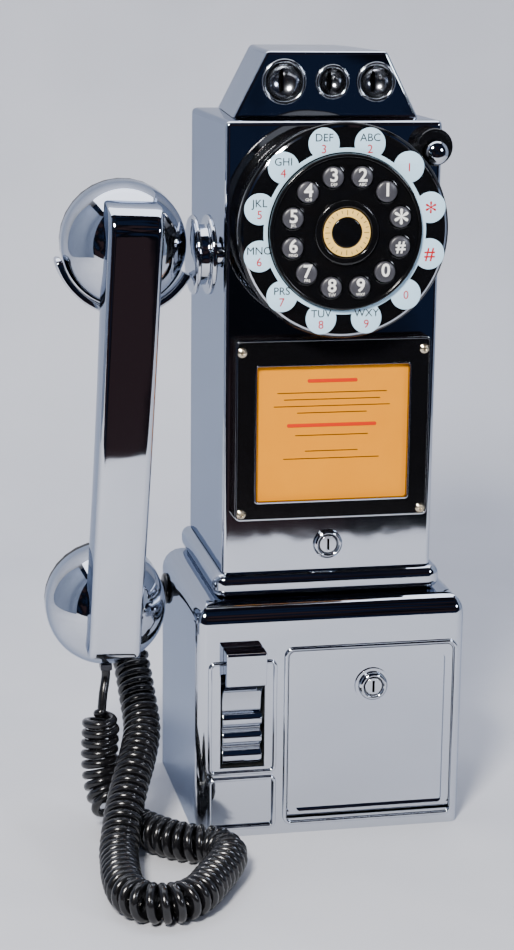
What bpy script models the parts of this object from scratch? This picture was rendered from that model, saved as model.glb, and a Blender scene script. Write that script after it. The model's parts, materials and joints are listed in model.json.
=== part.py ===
"""A wall or table payphone: two chromed housings, a push-button dial, a hook and a handset on a curly cord.

Metres, +Z up, the front faces -Y. The origin is on the underside of the base, in the middle of the vault.
"""

import math

import bmesh
import bpy
import numpy as np
from mathutils import Euler, Matrix, Vector

# Driving dimensions. Each is written once.
wall = 0.0025             # plated housing shells
seat_gap = 0.0003         # between pieces that rest on each other
running_gap = 0.0005      # round pieces that turn or slide
vault_width = 0.164
vault_depth = 0.130
vault_height = 0.146
vault_shoulder = 0.012    # large round along the top of the vault
vault_corner = 0.006      # its upright front corners
housing_width = 0.128
housing_depth = 0.112
housing_rise = 0.2805     # the upper housing's top above the vault
housing_corner = 0.003
moulding_height = 0.0142
moulding_proud = 0.0055
head_front_setback = 0.023
head_rise = 0.038
head_inset = 0.0085        # each side, from the housing's sides
head_taper = 0.0195       # each side, from bottom to top
head_narrowing = 0.008    # each side, from front to back
dial_radius = 0.0613
dial_rise = 0.2205        # the dial's centre above the vault
dial_proud = 0.028
dial_skirt_radius = 0.058
plate_band = 0.0028       # width of the number plate's ring
petal_radius = 0.0089
petal_reach = 0.0040      # petal centres outside the ring
plate_thickness = 0.0008
keypad_radius = 0.0444
keypad_proud = 0.0042
keypad_lip = 0.006        # keypad resting on the plinth's front
key_inset = 0.0122        # key centres inside the keypad's rim
key_web = 0.003768        # keypad left between two wells
key_proud = 0.0026
key_travel = 0.0015
key_stem_radius = 0.0034
key_stem_length = 0.0034
hub_inset = 0.0135        # hub's rim inside the key centres
label_inset = 0.0051      # label's rim inside the hub's
label_width = 0.0047
board_thickness = 0.0016
board_clearance = 0.0012  # behind a pressed key
frame_half_width = 0.0585
frame_rise = 0.048        # the card frame's foot above the vault
frame_height = 0.108
frame_proud = 0.008
card_half_width = 0.0457
card_foot = 0.0112        # frame left under the window
card_head = 0.0160        # and above it
screw_inset = 0.004
screw_drop = 0.0075       # upper screws under the frame's top
card_screw_radius = 0.0029
card_screw_hole = 0.00145
lock_bezel_radius = 0.0088
lock_plug_radius = 0.0052
lock_barrel_radius = 0.0066
door_lock_length = 0.0055
upper_lock_length = 0.014
lock_proud = 0.003
upper_lock_rise = 0.0302
door_lock_x = 0.0254
door_lock_z = 0.0914
door_cam_length = 0.028
upper_cam_length = 0.015
redial_inset = 0.0075      # from the housing's right side
redial_drop = 0.0145      # and from its top
redial_radius = 0.0108
redial_proud = 0.010
redial_knob_radius = 0.0067
redial_knob_drop = 0.0027
redial_knob_proud = 0.008
redial_travel = 0.002
redial_stem_radius = 0.0021
redial_floor = 0.0035       # of the bore that the knob slides in
door_left = -0.0262
door_right = 0.0747
door_bottom = 0.0100
door_top = 0.1152
door_thickness = 0.003
door_barrel_radius = 0.0031
door_pin_radius = 0.0012
return_slot_left = -0.0678
return_slot_right = -0.0408
return_slot_bottom = 0.0441
return_slot_top = 0.1035
return_lever_width = 0.024
return_tab_proud = 0.013
return_tab_bottom = 0.0985
return_tab_top = 0.1198
return_pin_radius = 0.0015
hook_y = -0.036
hook_rise = 0.2035        # the hook's axis above the vault
hub_gap = 0.0058          # between the spool and the housing's side
hub_width = 0.0125
hub_plate_radius = 0.023
hub_spool_radius = 0.0175
hook_shaft_radius = 0.007
hook_pivot_inset = 0.028
hook_pin_radius = 0.002
hook_swing = math.radians(5)
cradle_clearance = 0.002  # round the ear cup
cradle_thickness = 0.0042
cradle_depth = 0.015
handset_gap = 0.0023      # between the ear cup and the spool
handset_y = -0.035
handset_rise = 0.0067     # the ear cup's centre above the hook's axis
handset_tilt = math.radians(3.8)    # mouth end towards the wall
handset_lean = math.radians(2.5)    # mouth end away from the housing
handset_length = 0.220              # between the two cup centres
cup_radius = 0.036
cup_wall = 0.0025
cup_skirt = 0.010
cap_inset = 0.0028
cap_thickness = 0.007
handle_front = 0.050
handle_half_width = 0.0156
handle_edge = 0.004
keyhole_x = 0.035
keyhole_drop = 0.0265        # upper keyholes under the housing's top
keyhole_low = 0.060
gland_y = 0.0475
gland_z = 0.1246
gland_radius = 0.010
gland_neck = 0.0055
gland_length = 0.0085
cord_radius = 0.0029
coil_radius = 0.0118                # outside of the curly part

# Worked out from the dimensions above.
housing_half = housing_width / 2
housing_top = vault_height + housing_rise
head_half_bottom = housing_half - head_inset
head_half_top = head_half_bottom - head_taper
dial_centre_z = vault_height + dial_rise
plate_ring_radius = keypad_radius + plate_band
petal_circle = plate_ring_radius + petal_reach
key_circle = keypad_radius - key_inset
key_radius = key_circle * math.sin(math.radians(15)) - running_gap - key_web / 2
hub_radius = key_circle - hub_inset
label_radius = hub_radius - label_inset
label_bore = label_radius - label_width
keypad_bore = keypad_radius - keypad_lip
frame_bottom = vault_height + frame_rise
frame_top = frame_bottom + frame_height
card_bottom = frame_bottom + card_foot
card_top = frame_top - card_head
card_screw_x = frame_half_width - screw_inset
card_screw_low = frame_bottom + screw_inset
card_screw_high = frame_top - screw_drop
upper_lock_z = vault_height + upper_lock_rise
redial_x = housing_half - redial_inset
redial_z = housing_top - redial_drop
hook_z = vault_height + hook_rise
hook_pivot_x = -housing_half + hook_pivot_inset
hub_inner_x = -housing_half - hub_gap
hub_outer_x = hub_inner_x - hub_width
handset_x = hub_outer_x - handset_gap - cup_radius
handset_z = hook_z + handset_rise
cradle_inner_radius = cup_radius + cradle_clearance
cap_radius = cup_radius - cap_inset
wall_y = vault_depth / 2
vault_front = -vault_depth / 2
housing_front = wall_y - housing_depth
housing_bottom = vault_height + seat_gap
dial_front = housing_front - dial_proud
head_front = housing_front + head_front_setback
head_bottom = housing_top + seat_gap
head_top = head_bottom + head_rise
keypad_back = dial_front - seat_gap
keypad_front = keypad_back - keypad_proud
frame_front = housing_front - seat_gap - frame_proud
door_pivot_y = vault_front + door_barrel_radius
door_pivot_z = door_bottom + door_barrel_radius
return_x = (return_slot_left + return_slot_right) / 2
return_pivot_y = vault_front + 0.010
return_pivot_z = return_slot_top - 0.0085
key_names = ("2", "1", "star", "hash", "0", "9", "8", "7", "6", "5", "4", "3")
coin_cups = {"left": (-0.0255, 0.0132), "middle": (0.0032, 0.0102), "right": (0.0293, 0.0117)}
coin_cup_z = head_bottom + 0.0204


def clear_scene():
    for thing in list(bpy.data.objects):
        bpy.data.objects.remove(thing)


def collection_named(name):
    made = bpy.data.collections.new(name)
    bpy.context.scene.collection.children.link(made)
    return made


clear_scene()
parts = collection_named("payphone")
cutters = collection_named("cutters")
cutters.hide_render = True


def material(name, colour, roughness, metallic=0.0):
    made = bpy.data.materials.new(name)
    made.use_nodes = True
    shader = made.node_tree.nodes["Principled BSDF"]
    shader.inputs["Base Color"].default_value = (*colour, 1)
    shader.inputs["Roughness"].default_value = roughness
    shader.inputs["Metallic"].default_value = metallic
    made.diffuse_color = (*colour, 1)
    return made


chrome = material("chrome_plated_abs", (0.55, 0.56, 0.58), 0.06, 1.0)
steel = material("zinc_plated_steel", (0.55, 0.55, 0.53), 0.35, 1.0)
brass = material("brass", (0.62, 0.47, 0.20), 0.25, 1.0)
black = material("gloss_black_abs", (0.010, 0.010, 0.012), 0.12)
key_grey = material("key_grey_abs", (0.070, 0.070, 0.080), 0.35)
pale_blue = material("pale_blue_plate", (0.64, 0.79, 0.88), 0.40)
cream = material("cream_label", (0.90, 0.62, 0.21), 0.45)
yellow = material("yellow_card", (0.80, 0.39, 0.04), 0.55)
board_green = material("circuit_board", (0.02, 0.16, 0.07), 0.45)
cord_black = material("black_pvc", (0.012, 0.012, 0.013), 0.25)


def place(made, surface, where=(0, 0, 0), turn=(0, 0, 0), helper=False):
    """Links an object, gives it its material and its place."""
    (cutters if helper else parts).objects.link(made)
    if helper:
        made.hide_render = True
        made.display_type = "WIRE"
    if surface:
        made.data.materials.append(surface)
    made.location = where
    made.rotation_euler = turn
    return made


def from_bmesh(name, shape, surface=None, where=(0, 0, 0), turn=(0, 0, 0), helper=False):
    bmesh.ops.recalc_face_normals(shape, faces=shape.faces)
    data = bpy.data.meshes.new(name)
    shape.to_mesh(data)
    shape.free()
    return place(bpy.data.objects.new(name, data), surface, where, turn, helper)


def box_shape(low, high):
    """A bmesh cube stretched between two corners."""
    shape = bmesh.new()
    bmesh.ops.create_cube(shape, size=1)
    low, high = Vector(low), Vector(high)
    for vertex in shape.verts:
        vertex.co = Vector((low[i] + (vertex.co[i] + 0.5) * (high[i] - low[i]) for i in range(3)))
    return shape


def box(name, low, high, surface=None, helper=False, round_edges=0.0, where=(0, 0, 0), turn=(0, 0, 0)):
    shape = box_shape(low, high)
    if round_edges:
        bmesh.ops.bevel(shape, geom=shape.edges[:], offset=round_edges, segments=2, profile=0.5,
                        affect="EDGES")
    return from_bmesh(name, shape, surface, where, turn, helper)


def round_chosen(shape, chosen, radius, segments):
    """Rounds the edges for which chosen(middle, direction) is true."""
    edges = []
    for edge in shape.edges:
        first, second = (vertex.co for vertex in edge.verts)
        if chosen((first + second) / 2, (second - first).normalized()):
            edges.append(edge)
    bmesh.ops.bevel(shape, geom=edges, offset=radius, segments=segments, profile=0.5, affect="EDGES")


front_turn = (math.pi / 2, 0, 0)             # local +Z looks out of the front, local +Y is up
side_turn = (math.pi / 2, 0, math.pi / 2)    # local X runs back, local Y up, local Z to the right
left_turn = (0, -math.pi / 2, 0)             # local +Z looks to the left


def turned(name, profile, surface=None, where=(0, 0, 0), turn=front_turn, steps=32, helper=False):
    """A profile of (radius, height) points, run down its outer side, turned about local Z.

    The last point joins the first, except where both ends of a run lie on the axis.
    """
    data = bpy.data.meshes.new(name)
    following = profile[1:] + profile[:1]
    lines = [
        (i, (i + 1) % len(profile))
        for i, (point, after) in enumerate(zip(profile, following))
        if point[0] or after[0]
    ]
    data.from_pydata([(r, 0, h) for r, h in profile], lines, [])
    made = place(bpy.data.objects.new(name, data), surface, where, turn, helper)
    screw = made.modifiers.new("turn", "SCREW")
    screw.steps = screw.render_steps = steps
    screw.use_merge_vertices = True
    screw.merge_threshold = 0.00001
    screw.use_normal_calculate = False
    return made


def cylinder(name, radius, low, high, surface=None, where=(0, 0, 0), turn=front_turn, steps=24,
             helper=False):
    profile = [(0, high), (radius, high), (radius, low), (0, low)]
    return turned(name, profile, surface, where, turn, steps, helper)


def as_mesh(made):
    """A curve or a modified object made one closed mesh in the same place."""
    bpy.context.view_layer.update()
    graph = bpy.context.evaluated_depsgraph_get()
    data = bpy.data.meshes.new_from_object(made.evaluated_get(graph))
    shape = bmesh.new()
    shape.from_mesh(data)
    bmesh.ops.remove_doubles(shape, verts=shape.verts, dist=0.000002)
    bmesh.ops.recalc_face_normals(shape, faces=shape.faces)
    shape.to_mesh(data)
    shape.free()
    name, matrix, home = made.name, made.matrix_world.copy(), made.users_collection[0]
    hidden, surfaces = made.hide_render, [slot.material for slot in made.material_slots]
    bpy.data.objects.remove(made)
    mesh = bpy.data.objects.new(name, data)
    mesh.matrix_world = matrix
    mesh.hide_render = hidden
    mesh.display_type = "WIRE" if hidden else "TEXTURED"
    home.objects.link(mesh)
    if not data.materials:
        for surface in surfaces:
            data.materials.append(surface)
    return mesh


def slab(name, rings, thickness, surface=None, where=(0, 0, 0), turn=front_turn, helper=False):
    """A flat outline, with holes in it if there is more than one ring; its middle is at where."""
    curve = bpy.data.curves.new(name, "CURVE")
    curve.dimensions = "2D"
    curve.fill_mode = "BOTH"
    curve.extrude = thickness / 2
    for ring in rings:
        spline = curve.splines.new("POLY")
        spline.points.add(len(ring) - 1)
        for point, (x, y) in zip(spline.points, ring):
            point.co = (x, y, 0, 1)
        spline.use_cyclic_u = True
    return as_mesh(place(bpy.data.objects.new(name, curve), surface, where, turn, helper))


def arc(centre, radius, start, end, steps):
    """Points along an arc, angles in degrees, counted anticlockwise from local +X."""
    angles = np.radians(np.linspace(start, end, steps + 1))
    return [(centre[0] + radius * math.cos(a), centre[1] + radius * math.sin(a)) for a in angles]


def circle(radius, steps=48, centre=(0, 0)):
    return arc(centre, radius, 0, 360 - 360 / steps, steps - 1)


def rounded_rectangle(left, right, bottom, top, radius, steps=4):
    corners = ((right, top, 0), (left, top, 90), (left, bottom, 180), (right, bottom, 270))
    points = []
    for x, y, start in corners:
        inwards = (-radius if x == right else radius, -radius if y == top else radius)
        points += arc((x + inwards[0], y + inwards[1]), radius, start, start + 90, steps)
    return points


def boolean(target, tool, operation):
    modifier = target.modifiers.new(operation.lower(), "BOOLEAN")
    modifier.operation = operation
    modifier.solver = "EXACT"
    modifier.object = tool
    return target


def cut(target, *tools):
    for tool in tools:
        boolean(target, tool, "DIFFERENCE")
    return target


def unite(target, *tools):
    for tool in tools:
        boolean(target, tool, "UNION")
    return target


def smooth(made):
    if made.type == "MESH":
        made.data.shade_smooth()
    return made


# ---- housings ----

def make_back_plate():
    half_low = vault_width / 2 - wall - seat_gap
    half_high = housing_half - wall - seat_gap
    low, step, high = wall + seat_gap, vault_height - wall - seat_gap, housing_top - wall - seat_gap
    bend = vault_shoulder - wall
    outline = [(-half_low, low), (half_low, low)]
    outline += arc((half_low - bend, step - bend), bend, 0, 90, 4)
    outline += [(half_high, step), (half_high, high), (-half_high, high), (-half_high, step)]
    outline += arc((-half_low + bend, step - bend), bend, 90, 180, 4)
    upper = housing_top - keyhole_drop
    places = ((-keyhole_x, upper), (keyhole_x, upper), (0.0, keyhole_low))
    keyholes = [keyhole(x, z) for x, z in places]
    middle = wall_y - wall / 2
    return slab("back_plate", [outline, *keyholes], wall, steel, (0, middle, 0))


def keyhole(x, z):
    """A round hole that a screw head passes, with a narrow slot above it."""
    head, neck, rise = 0.0045, 0.0022, 0.010
    start = math.degrees(math.asin(neck / head))
    points = arc((x, z), head, 90 + start, 450 - start, 12)
    return points + arc((x, z + rise), neck, 0, 180, 4)


def make_base_plate():
    inside = wall + seat_gap
    shape = box_shape((-vault_width / 2 + inside, vault_front + inside, 0),
                      (vault_width / 2 - inside, wall_y, wall))
    round_chosen(
        shape,
        lambda middle, way: abs(way.z) > 0.9 and middle.y < vault_front + inside + 0.001,
        vault_corner - wall, 3,
    )
    return from_bmesh("base_plate", shape, steel)


def make_vault_housing():
    half = vault_width / 2
    shape = box_shape((-half, vault_front, 0), (half, wall_y, vault_height))
    round_chosen(
        shape,
        lambda middle, way: abs(way.z) > 0.9 and middle.y < vault_front + 0.001,
        vault_corner, 4,
    )
    top = vault_height - 0.0001
    round_chosen(
        shape,
        lambda middle, way: middle.z > top and middle.y < wall_y - 0.001,
        vault_shoulder, 5,
    )
    vault = from_bmesh("vault_housing", shape, chrome)
    inner_shape = box_shape(
        (-half + wall, vault_front + wall, -0.01), (half - wall, wall_y + 0.01, vault_height - wall)
    )
    round_chosen(
        inner_shape,
        lambda middle, way: abs(way.z) > 0.9 and middle.y < vault_front + wall + 0.001,
        vault_corner - wall, 3,
    )
    round_chosen(
        inner_shape,
        lambda middle, way: middle.z > vault_height - wall - 0.0001 and middle.y < wall_y,
        vault_shoulder - wall, 5,
    )
    inner = from_bmesh("vault_inside", inner_shape, helper=True)
    passage_half = housing_half - wall
    passage = box(
        "vault_passage",
        (-passage_half, housing_front + wall, vault_height - 0.02),
        (passage_half, wall_y + 0.01, vault_height + 0.02),
        helper=True,
    )
    gap = running_gap
    door_hole = slab(
        "vault_door_hole",
        [rounded_rectangle(door_left - gap, door_right + gap, door_bottom - gap, door_top + gap, 0.004)],
        0.012, where=(0, vault_front, 0), helper=True,
    )
    channel = box(
        "vault_door_channel",
        (door_left - gap, vault_front - 0.01, door_bottom - gap),
        (door_right + gap, vault_front + 0.006, door_bottom + 0.008),
        helper=True,
    )
    slot = box(
        "vault_return_slot",
        (return_slot_left, vault_front - 0.01, return_slot_bottom),
        (return_slot_right, vault_front + 0.01, return_slot_top),
        helper=True,
    )
    plate = slab(
        "vault_name_recess",
        [rounded_rectangle(-0.0745, -0.0340, 0.0055, 0.0375, 0.003)],
        0.002, where=(0, vault_front, 0), helper=True,
    )
    gland = cylinder(
        "vault_gland_hole", gland_neck + running_gap, -0.01, 0.01,
        where=(-half, gland_y, gland_z), turn=left_turn, helper=True,
    )
    cut(vault, inner, passage, door_hole, channel, slot, plate, gland)
    for side, x in (("left", door_left - gap), ("right", door_right + gap)):
        outward = -1 if side == "left" else 1
        reach = x + outward * 0.0042
        lug = box(
            f"vault_hinge_lug_{side}",
            (min(x, reach), vault_front + wall - 0.0005, door_bottom - 0.001),
            (max(x, reach), door_pivot_y + 0.0035, door_pivot_z + 0.004),
            helper=True,
        )
        unite(vault, lug)
    pin_hole = cylinder(
        "vault_pin_hole", door_pin_radius + seat_gap, door_left - 0.0045, door_right + 0.0045,
        where=(0, door_pivot_y, door_pivot_z), turn=(0, math.pi / 2, 0), steps=12, helper=True,
    )
    return cut(vault, pin_hole)


def make_upper_housing():
    half = housing_half
    shape = box_shape((-half, housing_front, housing_bottom), (half, wall_y, housing_top))

    def front_and_top(middle, way):
        upright = abs(way.z) > 0.9 and middle.y < housing_front + 0.001
        return upright or (middle.z > housing_top - 0.0001 and middle.y < wall_y - 0.001)

    round_chosen(shape, front_and_top, housing_corner, 3)
    housing = from_bmesh("upper_housing", shape, chrome)
    inner = box(
        "housing_inside",
        (-half + wall, housing_front + wall, housing_bottom - 0.01),
        (half - wall, wall_y + 0.01, housing_top - wall),
        helper=True,
    )
    dial_hole = cylinder("housing_dial_hole", 0.030, -0.01, 0.01, where=(0, housing_front, dial_centre_z),
                         helper=True)
    lock_hole = cylinder(
        "housing_lock_hole", lock_barrel_radius + seat_gap, -0.01, 0.01,
        where=(0, housing_front, upper_lock_z), helper=True,
    )
    redial_hole = cylinder(
        "housing_redial_hole", redial_stem_radius + 2 * running_gap, -0.01, 0.01,
        where=(redial_x, housing_front, redial_z - redial_knob_drop), helper=True,
    )
    rise = (abs(-half - hook_pivot_x)) * math.sin(hook_swing) + running_gap
    hook_slot = slab(
        "housing_hook_slot",
        [rounded_rectangle(-hook_shaft_radius - running_gap, hook_shaft_radius + running_gap,
                           -hook_shaft_radius - running_gap, hook_shaft_radius + rise, 0.004)],
        0.02, where=(-half, hook_y, hook_z), turn=side_turn, helper=True,
    )
    chute_hole = box(
        "housing_coin_hole",
        (-0.042, head_front + 0.006, housing_top - 0.01), (0.042, head_front + 0.034, housing_top + 0.01),
        helper=True,
    )
    screws = [
        cylinder(f"housing_screw_hole_{i}", card_screw_hole, -0.01, 0.01,
                 where=(x, housing_front, z), steps=8, helper=True)
        for i, (x, z) in enumerate(card_screw_places())
    ]
    return cut(housing, inner, dial_hole, lock_hole, redial_hole, hook_slot, chute_hole, *screws)


def card_screw_places():
    return [(side * card_screw_x, z) for z in (card_screw_high, card_screw_low) for side in (-1, 1)]


def make_foot_moulding():
    """A half-round bead round the front and both sides of the upper housing, just above the vault."""
    inner_half = housing_half + seat_gap
    outer_half = housing_half + moulding_proud
    shape = box_shape(
        (-outer_half, housing_front - moulding_proud, housing_bottom),
        (outer_half, wall_y, housing_bottom + moulding_height),
    )
    round_chosen(
        shape,
        lambda middle, way: abs(way.z) > 0.9 and middle.y < housing_front,
        housing_corner + moulding_proud - 0.001, 4,
    )
    high = housing_bottom + moulding_height - 0.0001

    def long_edges(middle, way):
        along = middle.z > high or middle.z < housing_bottom + 0.0001
        return along and middle.y < wall_y - 0.001

    round_chosen(shape, long_edges, moulding_proud - 0.0004, 4)
    bead = from_bmesh("foot_moulding", shape, chrome)
    inner = box_shape(
        (-inner_half, housing_front - seat_gap, housing_bottom - 0.01),
        (inner_half, wall_y + 0.01, housing_bottom + moulding_height + 0.01),
    )
    round_chosen(
        inner,
        lambda middle, way: abs(way.z) > 0.9 and middle.y < housing_front,
        housing_corner, 3,
    )
    return cut(bead, from_bmesh("moulding_inside", inner, helper=True))


# ---- coin head ----

def frustum_shape(grow, low, high, front, back):
    """The head's outline, a trapezium that narrows towards the back, moved outwards by grow."""
    shape = bmesh.new()
    bmesh.ops.create_cube(shape, size=1)
    depth = wall_y - head_front
    for vertex in shape.verts:
        up = high if vertex.co.z > 0 else low
        y = back if vertex.co.y > 0 else front
        along = (y - head_front) / depth
        height = (up - head_bottom) / head_rise
        half = head_half_bottom - head_taper * height - head_narrowing * along + grow
        vertex.co = Vector((math.copysign(half, vertex.co.x), y, up))
    return shape


def make_coin_head():
    shape = frustum_shape(0, head_bottom, head_top, head_front, wall_y)

    def long_edges(middle, way):
        return middle.z > head_bottom + 0.001 and middle.y < wall_y - 0.001

    round_chosen(shape, long_edges, 0.0022, 3)
    head = from_bmesh("coin_head", shape, chrome)
    inner = frustum_shape(-wall * 1.2, head_bottom - 0.01, head_top - wall, head_front + wall,
                          wall_y - wall)
    cut(head, from_bmesh("head_inside", inner, helper=True))
    for side, (x, radius) in coin_cups.items():
        hole = cylinder(f"head_hole_{side}", radius - 0.0012 + seat_gap, -0.01, 0.01,
                        where=(x, head_front, coin_cup_z), helper=True)
        cut(head, hole)
    return head


def make_coin_cup(side, x, radius):
    """A dished cup with a rolled rim and a coin slot through its floor."""
    neck = radius - 0.0012
    outer = [(neck, 0.0)] + [(neck * math.cos(a), -0.0085 * math.sin(a)) for a in np.radians((25, 50, 75))]
    inner_neck, depth = neck - 0.0016, 0.0068
    inner = [(inner_neck * math.cos(a), -depth * math.sin(a)) for a in np.radians((75, 50, 25))]
    profile = [(radius - 0.0006, 0.0021), (radius, 0.0012), (radius, seat_gap), (neck, seat_gap)]
    profile += outer + [(0, -0.0085)]
    profile += [(0, -depth)] + inner + [(inner_neck, 0.0006), (inner_neck + 0.0004, 0.0016)]
    cup = turned(f"coin_cup_{side}", profile, chrome, (x, head_front, coin_cup_z), steps=22)
    slot = box(f"cup_slot_{side}", (-0.0011, -radius * 0.62, -0.02), (0.0011, radius * 0.62, 0.004),
               where=(x, head_front, coin_cup_z), turn=front_turn, helper=True)
    return cut(cup, slot)


def make_coin_chute():
    """A funnel under the head and a duct down to the coin box."""
    top, bottom = housing_top - wall - seat_gap, vault_height - 0.012
    front = head_front + 0.004
    duct = box("coin_chute", (-0.046, front, top - 0.014), (0.046, front + 0.032, top), steel)
    leg = box("chute_leg", (-0.012, front + 0.006, bottom), (0.012, front + 0.026, top - 0.010),
              helper=True)
    unite(duct, leg)
    mouth = box("chute_mouth", (-0.044, front + 0.002, top - 0.012), (0.044, front + 0.030, top + 0.01),
                helper=True)
    bore = box("chute_bore", (-0.0105, front + 0.0075, bottom - 0.01),
               (0.0105, front + 0.0245, top - 0.005), helper=True)
    return cut(duct, mouth, bore)


def make_coin_box():
    """An open tray that stands on the base behind the door."""
    low = (door_left + 0.004, vault_front + 0.012, wall + seat_gap)
    high = (door_right - 0.004, wall_y - wall - 0.006, wall + seat_gap + 0.052)
    tray = box("coin_box", low, high, steel)
    thick = 0.0015
    hollow = box(
        "coin_box_hollow",
        (low[0] + thick, low[1] + thick, low[2] + thick), (high[0] - thick, high[1] - thick,
                                                           high[2] + 0.01),
        helper=True,
    )
    return cut(tray, hollow)


# ---- dial ----

def make_dial_plinth():
    """A black drum with a chamfered front edge, open behind."""
    height = dial_proud - seat_gap
    profile = [
        (keypad_bore, height), (dial_radius - 0.0022, height), (dial_radius, height - 0.0018),
        (dial_radius, height - 0.0065), (dial_skirt_radius, height - 0.0095), (dial_skirt_radius, 0),
        (dial_skirt_radius - wall, 0), (dial_skirt_radius - wall, height - 0.0095 - wall * 0.6),
        (dial_skirt_radius - wall, height - wall), (keypad_bore, height - wall),
    ]
    return turned("dial_plinth", profile, black, (0, housing_front - seat_gap, dial_centre_z), steps=48)


def dial_angle(index):
    """Clock angle of a key or petal in degrees, clockwise from the top."""
    return 15 + 30 * index


def on_circle(radius, clock):
    turn = math.radians(clock)
    return radius * math.sin(turn), radius * math.cos(turn)


def petal_outline():
    """A thin ring with twelve round petals, all in one outline run anticlockwise."""
    reach, radius, ring = petal_circle, petal_radius, plate_ring_radius
    # The petal's circle and the ring's circle meet where both are this far round from the petal's middle.
    across = (reach ** 2 + ring ** 2 - radius ** 2) / (2 * reach * ring)
    half_ring = math.degrees(math.acos(across))
    meet = (reach ** 2 + radius ** 2 - ring ** 2) / (2 * reach * radius)
    half_petal = 180 - math.degrees(math.acos(meet))
    points = []
    for index in range(12):
        middle = 90 - 15 + 30 * index
        centre = (reach * math.cos(math.radians(middle)), reach * math.sin(math.radians(middle)))
        points += arc(centre, radius, middle - half_petal, middle + half_petal, 7)
        points += arc((0, 0), ring, middle + half_ring, middle + 30 - half_ring, 2)[1:-1]
    return points


def make_number_plate():
    bore = circle(keypad_radius + running_gap, 48)
    middle = dial_front - seat_gap - plate_thickness / 2
    return slab("number_plate", [petal_outline(), bore], plate_thickness, pale_blue,
                (0, middle, dial_centre_z))


def make_keypad_disc():
    """The raised inner dial: a rim, twelve wells and a seat for the hub."""
    rim, floor = keypad_proud, keypad_proud - 0.0012
    profile = [
        (hub_radius - 0.003, floor), (keypad_radius - 0.0030, floor), (keypad_radius - 0.0022, rim),
        (keypad_radius - 0.0006, rim), (keypad_radius, rim - 0.0008), (keypad_radius, 0),
        (keypad_bore - seat_gap, 0), (keypad_bore - seat_gap, -wall),
        (keypad_bore - 0.0020, -wall), (keypad_bore - 0.0020, 0.0006), (hub_radius - 0.003, 0.0006),
    ]
    disc = turned("keypad_disc", profile, black, (0, keypad_back, dial_centre_z), steps=48)
    for index in range(12):
        x, z = on_circle(key_circle, dial_angle(index))
        well = cylinder(f"key_well_{index}", key_radius + running_gap, -0.02, 0.02,
                        where=(x, keypad_back, dial_centre_z + z), steps=14, helper=True)
        cut(disc, well)
    return disc


def make_key(index):
    """A domed button on a flange that keeps it in its well."""
    x, z = on_circle(key_circle, dial_angle(index))
    front = keypad_proud + key_proud - 0.0012
    crown = [(key_radius * math.sin(a), front - 0.0010 * (1 - math.cos(a))) for a in np.radians((30, 60, 90))]
    flange = -0.0004
    profile = [(0, front)] + crown + [(key_radius, flange), (key_stem_radius, flange)]
    profile += [(key_stem_radius, -key_stem_length), (0, -key_stem_length)]
    return turned(f"key_{key_names[index]}", profile, key_grey, (x, keypad_back, dial_centre_z + z),
                  steps=14)


def make_centre_hub():
    """A low cup with a raised rim in the middle of the dial."""
    floor = keypad_proud - 0.0012
    step = floor + seat_gap
    profile = [
        (0, step + 0.0016), (label_bore - 0.0006, step + 0.0016), (label_bore - 0.0003, step + 0.0006),
        (label_radius + 0.0004, step + 0.0006), (label_radius + 0.0010, step + 0.0022),
        (hub_radius - 0.0012, step + 0.0022), (hub_radius, step + 0.0010), (hub_radius, step),
        (hub_radius - 0.0034, step), (hub_radius - 0.0034, -0.0002), (0, -0.0002),
    ]
    return turned("centre_hub", profile, black, (0, keypad_back, dial_centre_z), steps=30)


def make_centre_label():
    low = keypad_proud - 0.0012 + seat_gap + 0.0006 + seat_gap
    rings = [circle(label_radius, 40), circle(label_bore, 32)]
    return slab("centre_label", rings, 0.0005, cream, (0, keypad_back - low - 0.00025, dial_centre_z))


def make_keypad_board():
    """The circuit board behind the keys, and the ring that holds it in the plinth's bore."""
    front = key_stem_length + key_travel + board_clearance
    middle = keypad_back + front + board_thickness / 2
    inner, outer = keypad_bore - 0.0023, keypad_bore - seat_gap
    board = slab(
        "keypad_board", [circle(inner + 0.0001, 40)], board_thickness, board_green,
        (0, middle, dial_centre_z),
    )
    reach = front - wall - seat_gap + board_thickness / 2
    rear = -0.0010
    ring = turned(
        "board_ring", [(inner, reach), (outer, reach), (outer, rear), (inner, rear)],
        where=(0, middle, dial_centre_z), steps=40, helper=True,
    )
    return unite(board, ring)


# ---- card frame ----

def make_card_frame():
    outer = rounded_rectangle(-frame_half_width, frame_half_width, frame_bottom, frame_top, 0.003)
    hole = rounded_rectangle(-card_half_width, card_half_width, card_bottom, card_top, 0.0015)
    middle = housing_front - seat_gap - frame_proud / 2
    frame = slab("card_frame", [outer, hole], frame_proud, black, (0, middle, 0))
    rebate = box(
        "frame_rebate",
        (-card_half_width - 0.004, housing_front - seat_gap - frame_proud + 0.0030, card_bottom - 0.004),
        (card_half_width + 0.004, housing_front + 0.01, card_top + 0.004),
        helper=True,
    )
    cut(frame, rebate)
    for i, (x, z) in enumerate(card_screw_places()):
        hole = cylinder(f"frame_screw_hole_{i}", card_screw_hole, -0.02, 0.02,
                        where=(x, housing_front, z), steps=8, helper=True)
        sink = cylinder(f"frame_screw_sink_{i}", card_screw_radius + seat_gap, -0.0012, 0.01,
                        where=(x, frame_front, z), steps=16, helper=True)
        cut(frame, hole, sink)
    return frame


def make_instruction_card():
    thick = 0.0045
    inset = 0.004 - seat_gap
    front = housing_front - seat_gap - frame_proud + 0.0030 + seat_gap
    return box(
        "instruction_card",
        (-card_half_width - inset, front, card_bottom - inset),
        (card_half_width + inset, front + thick, card_top + inset), yellow,
    )


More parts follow.
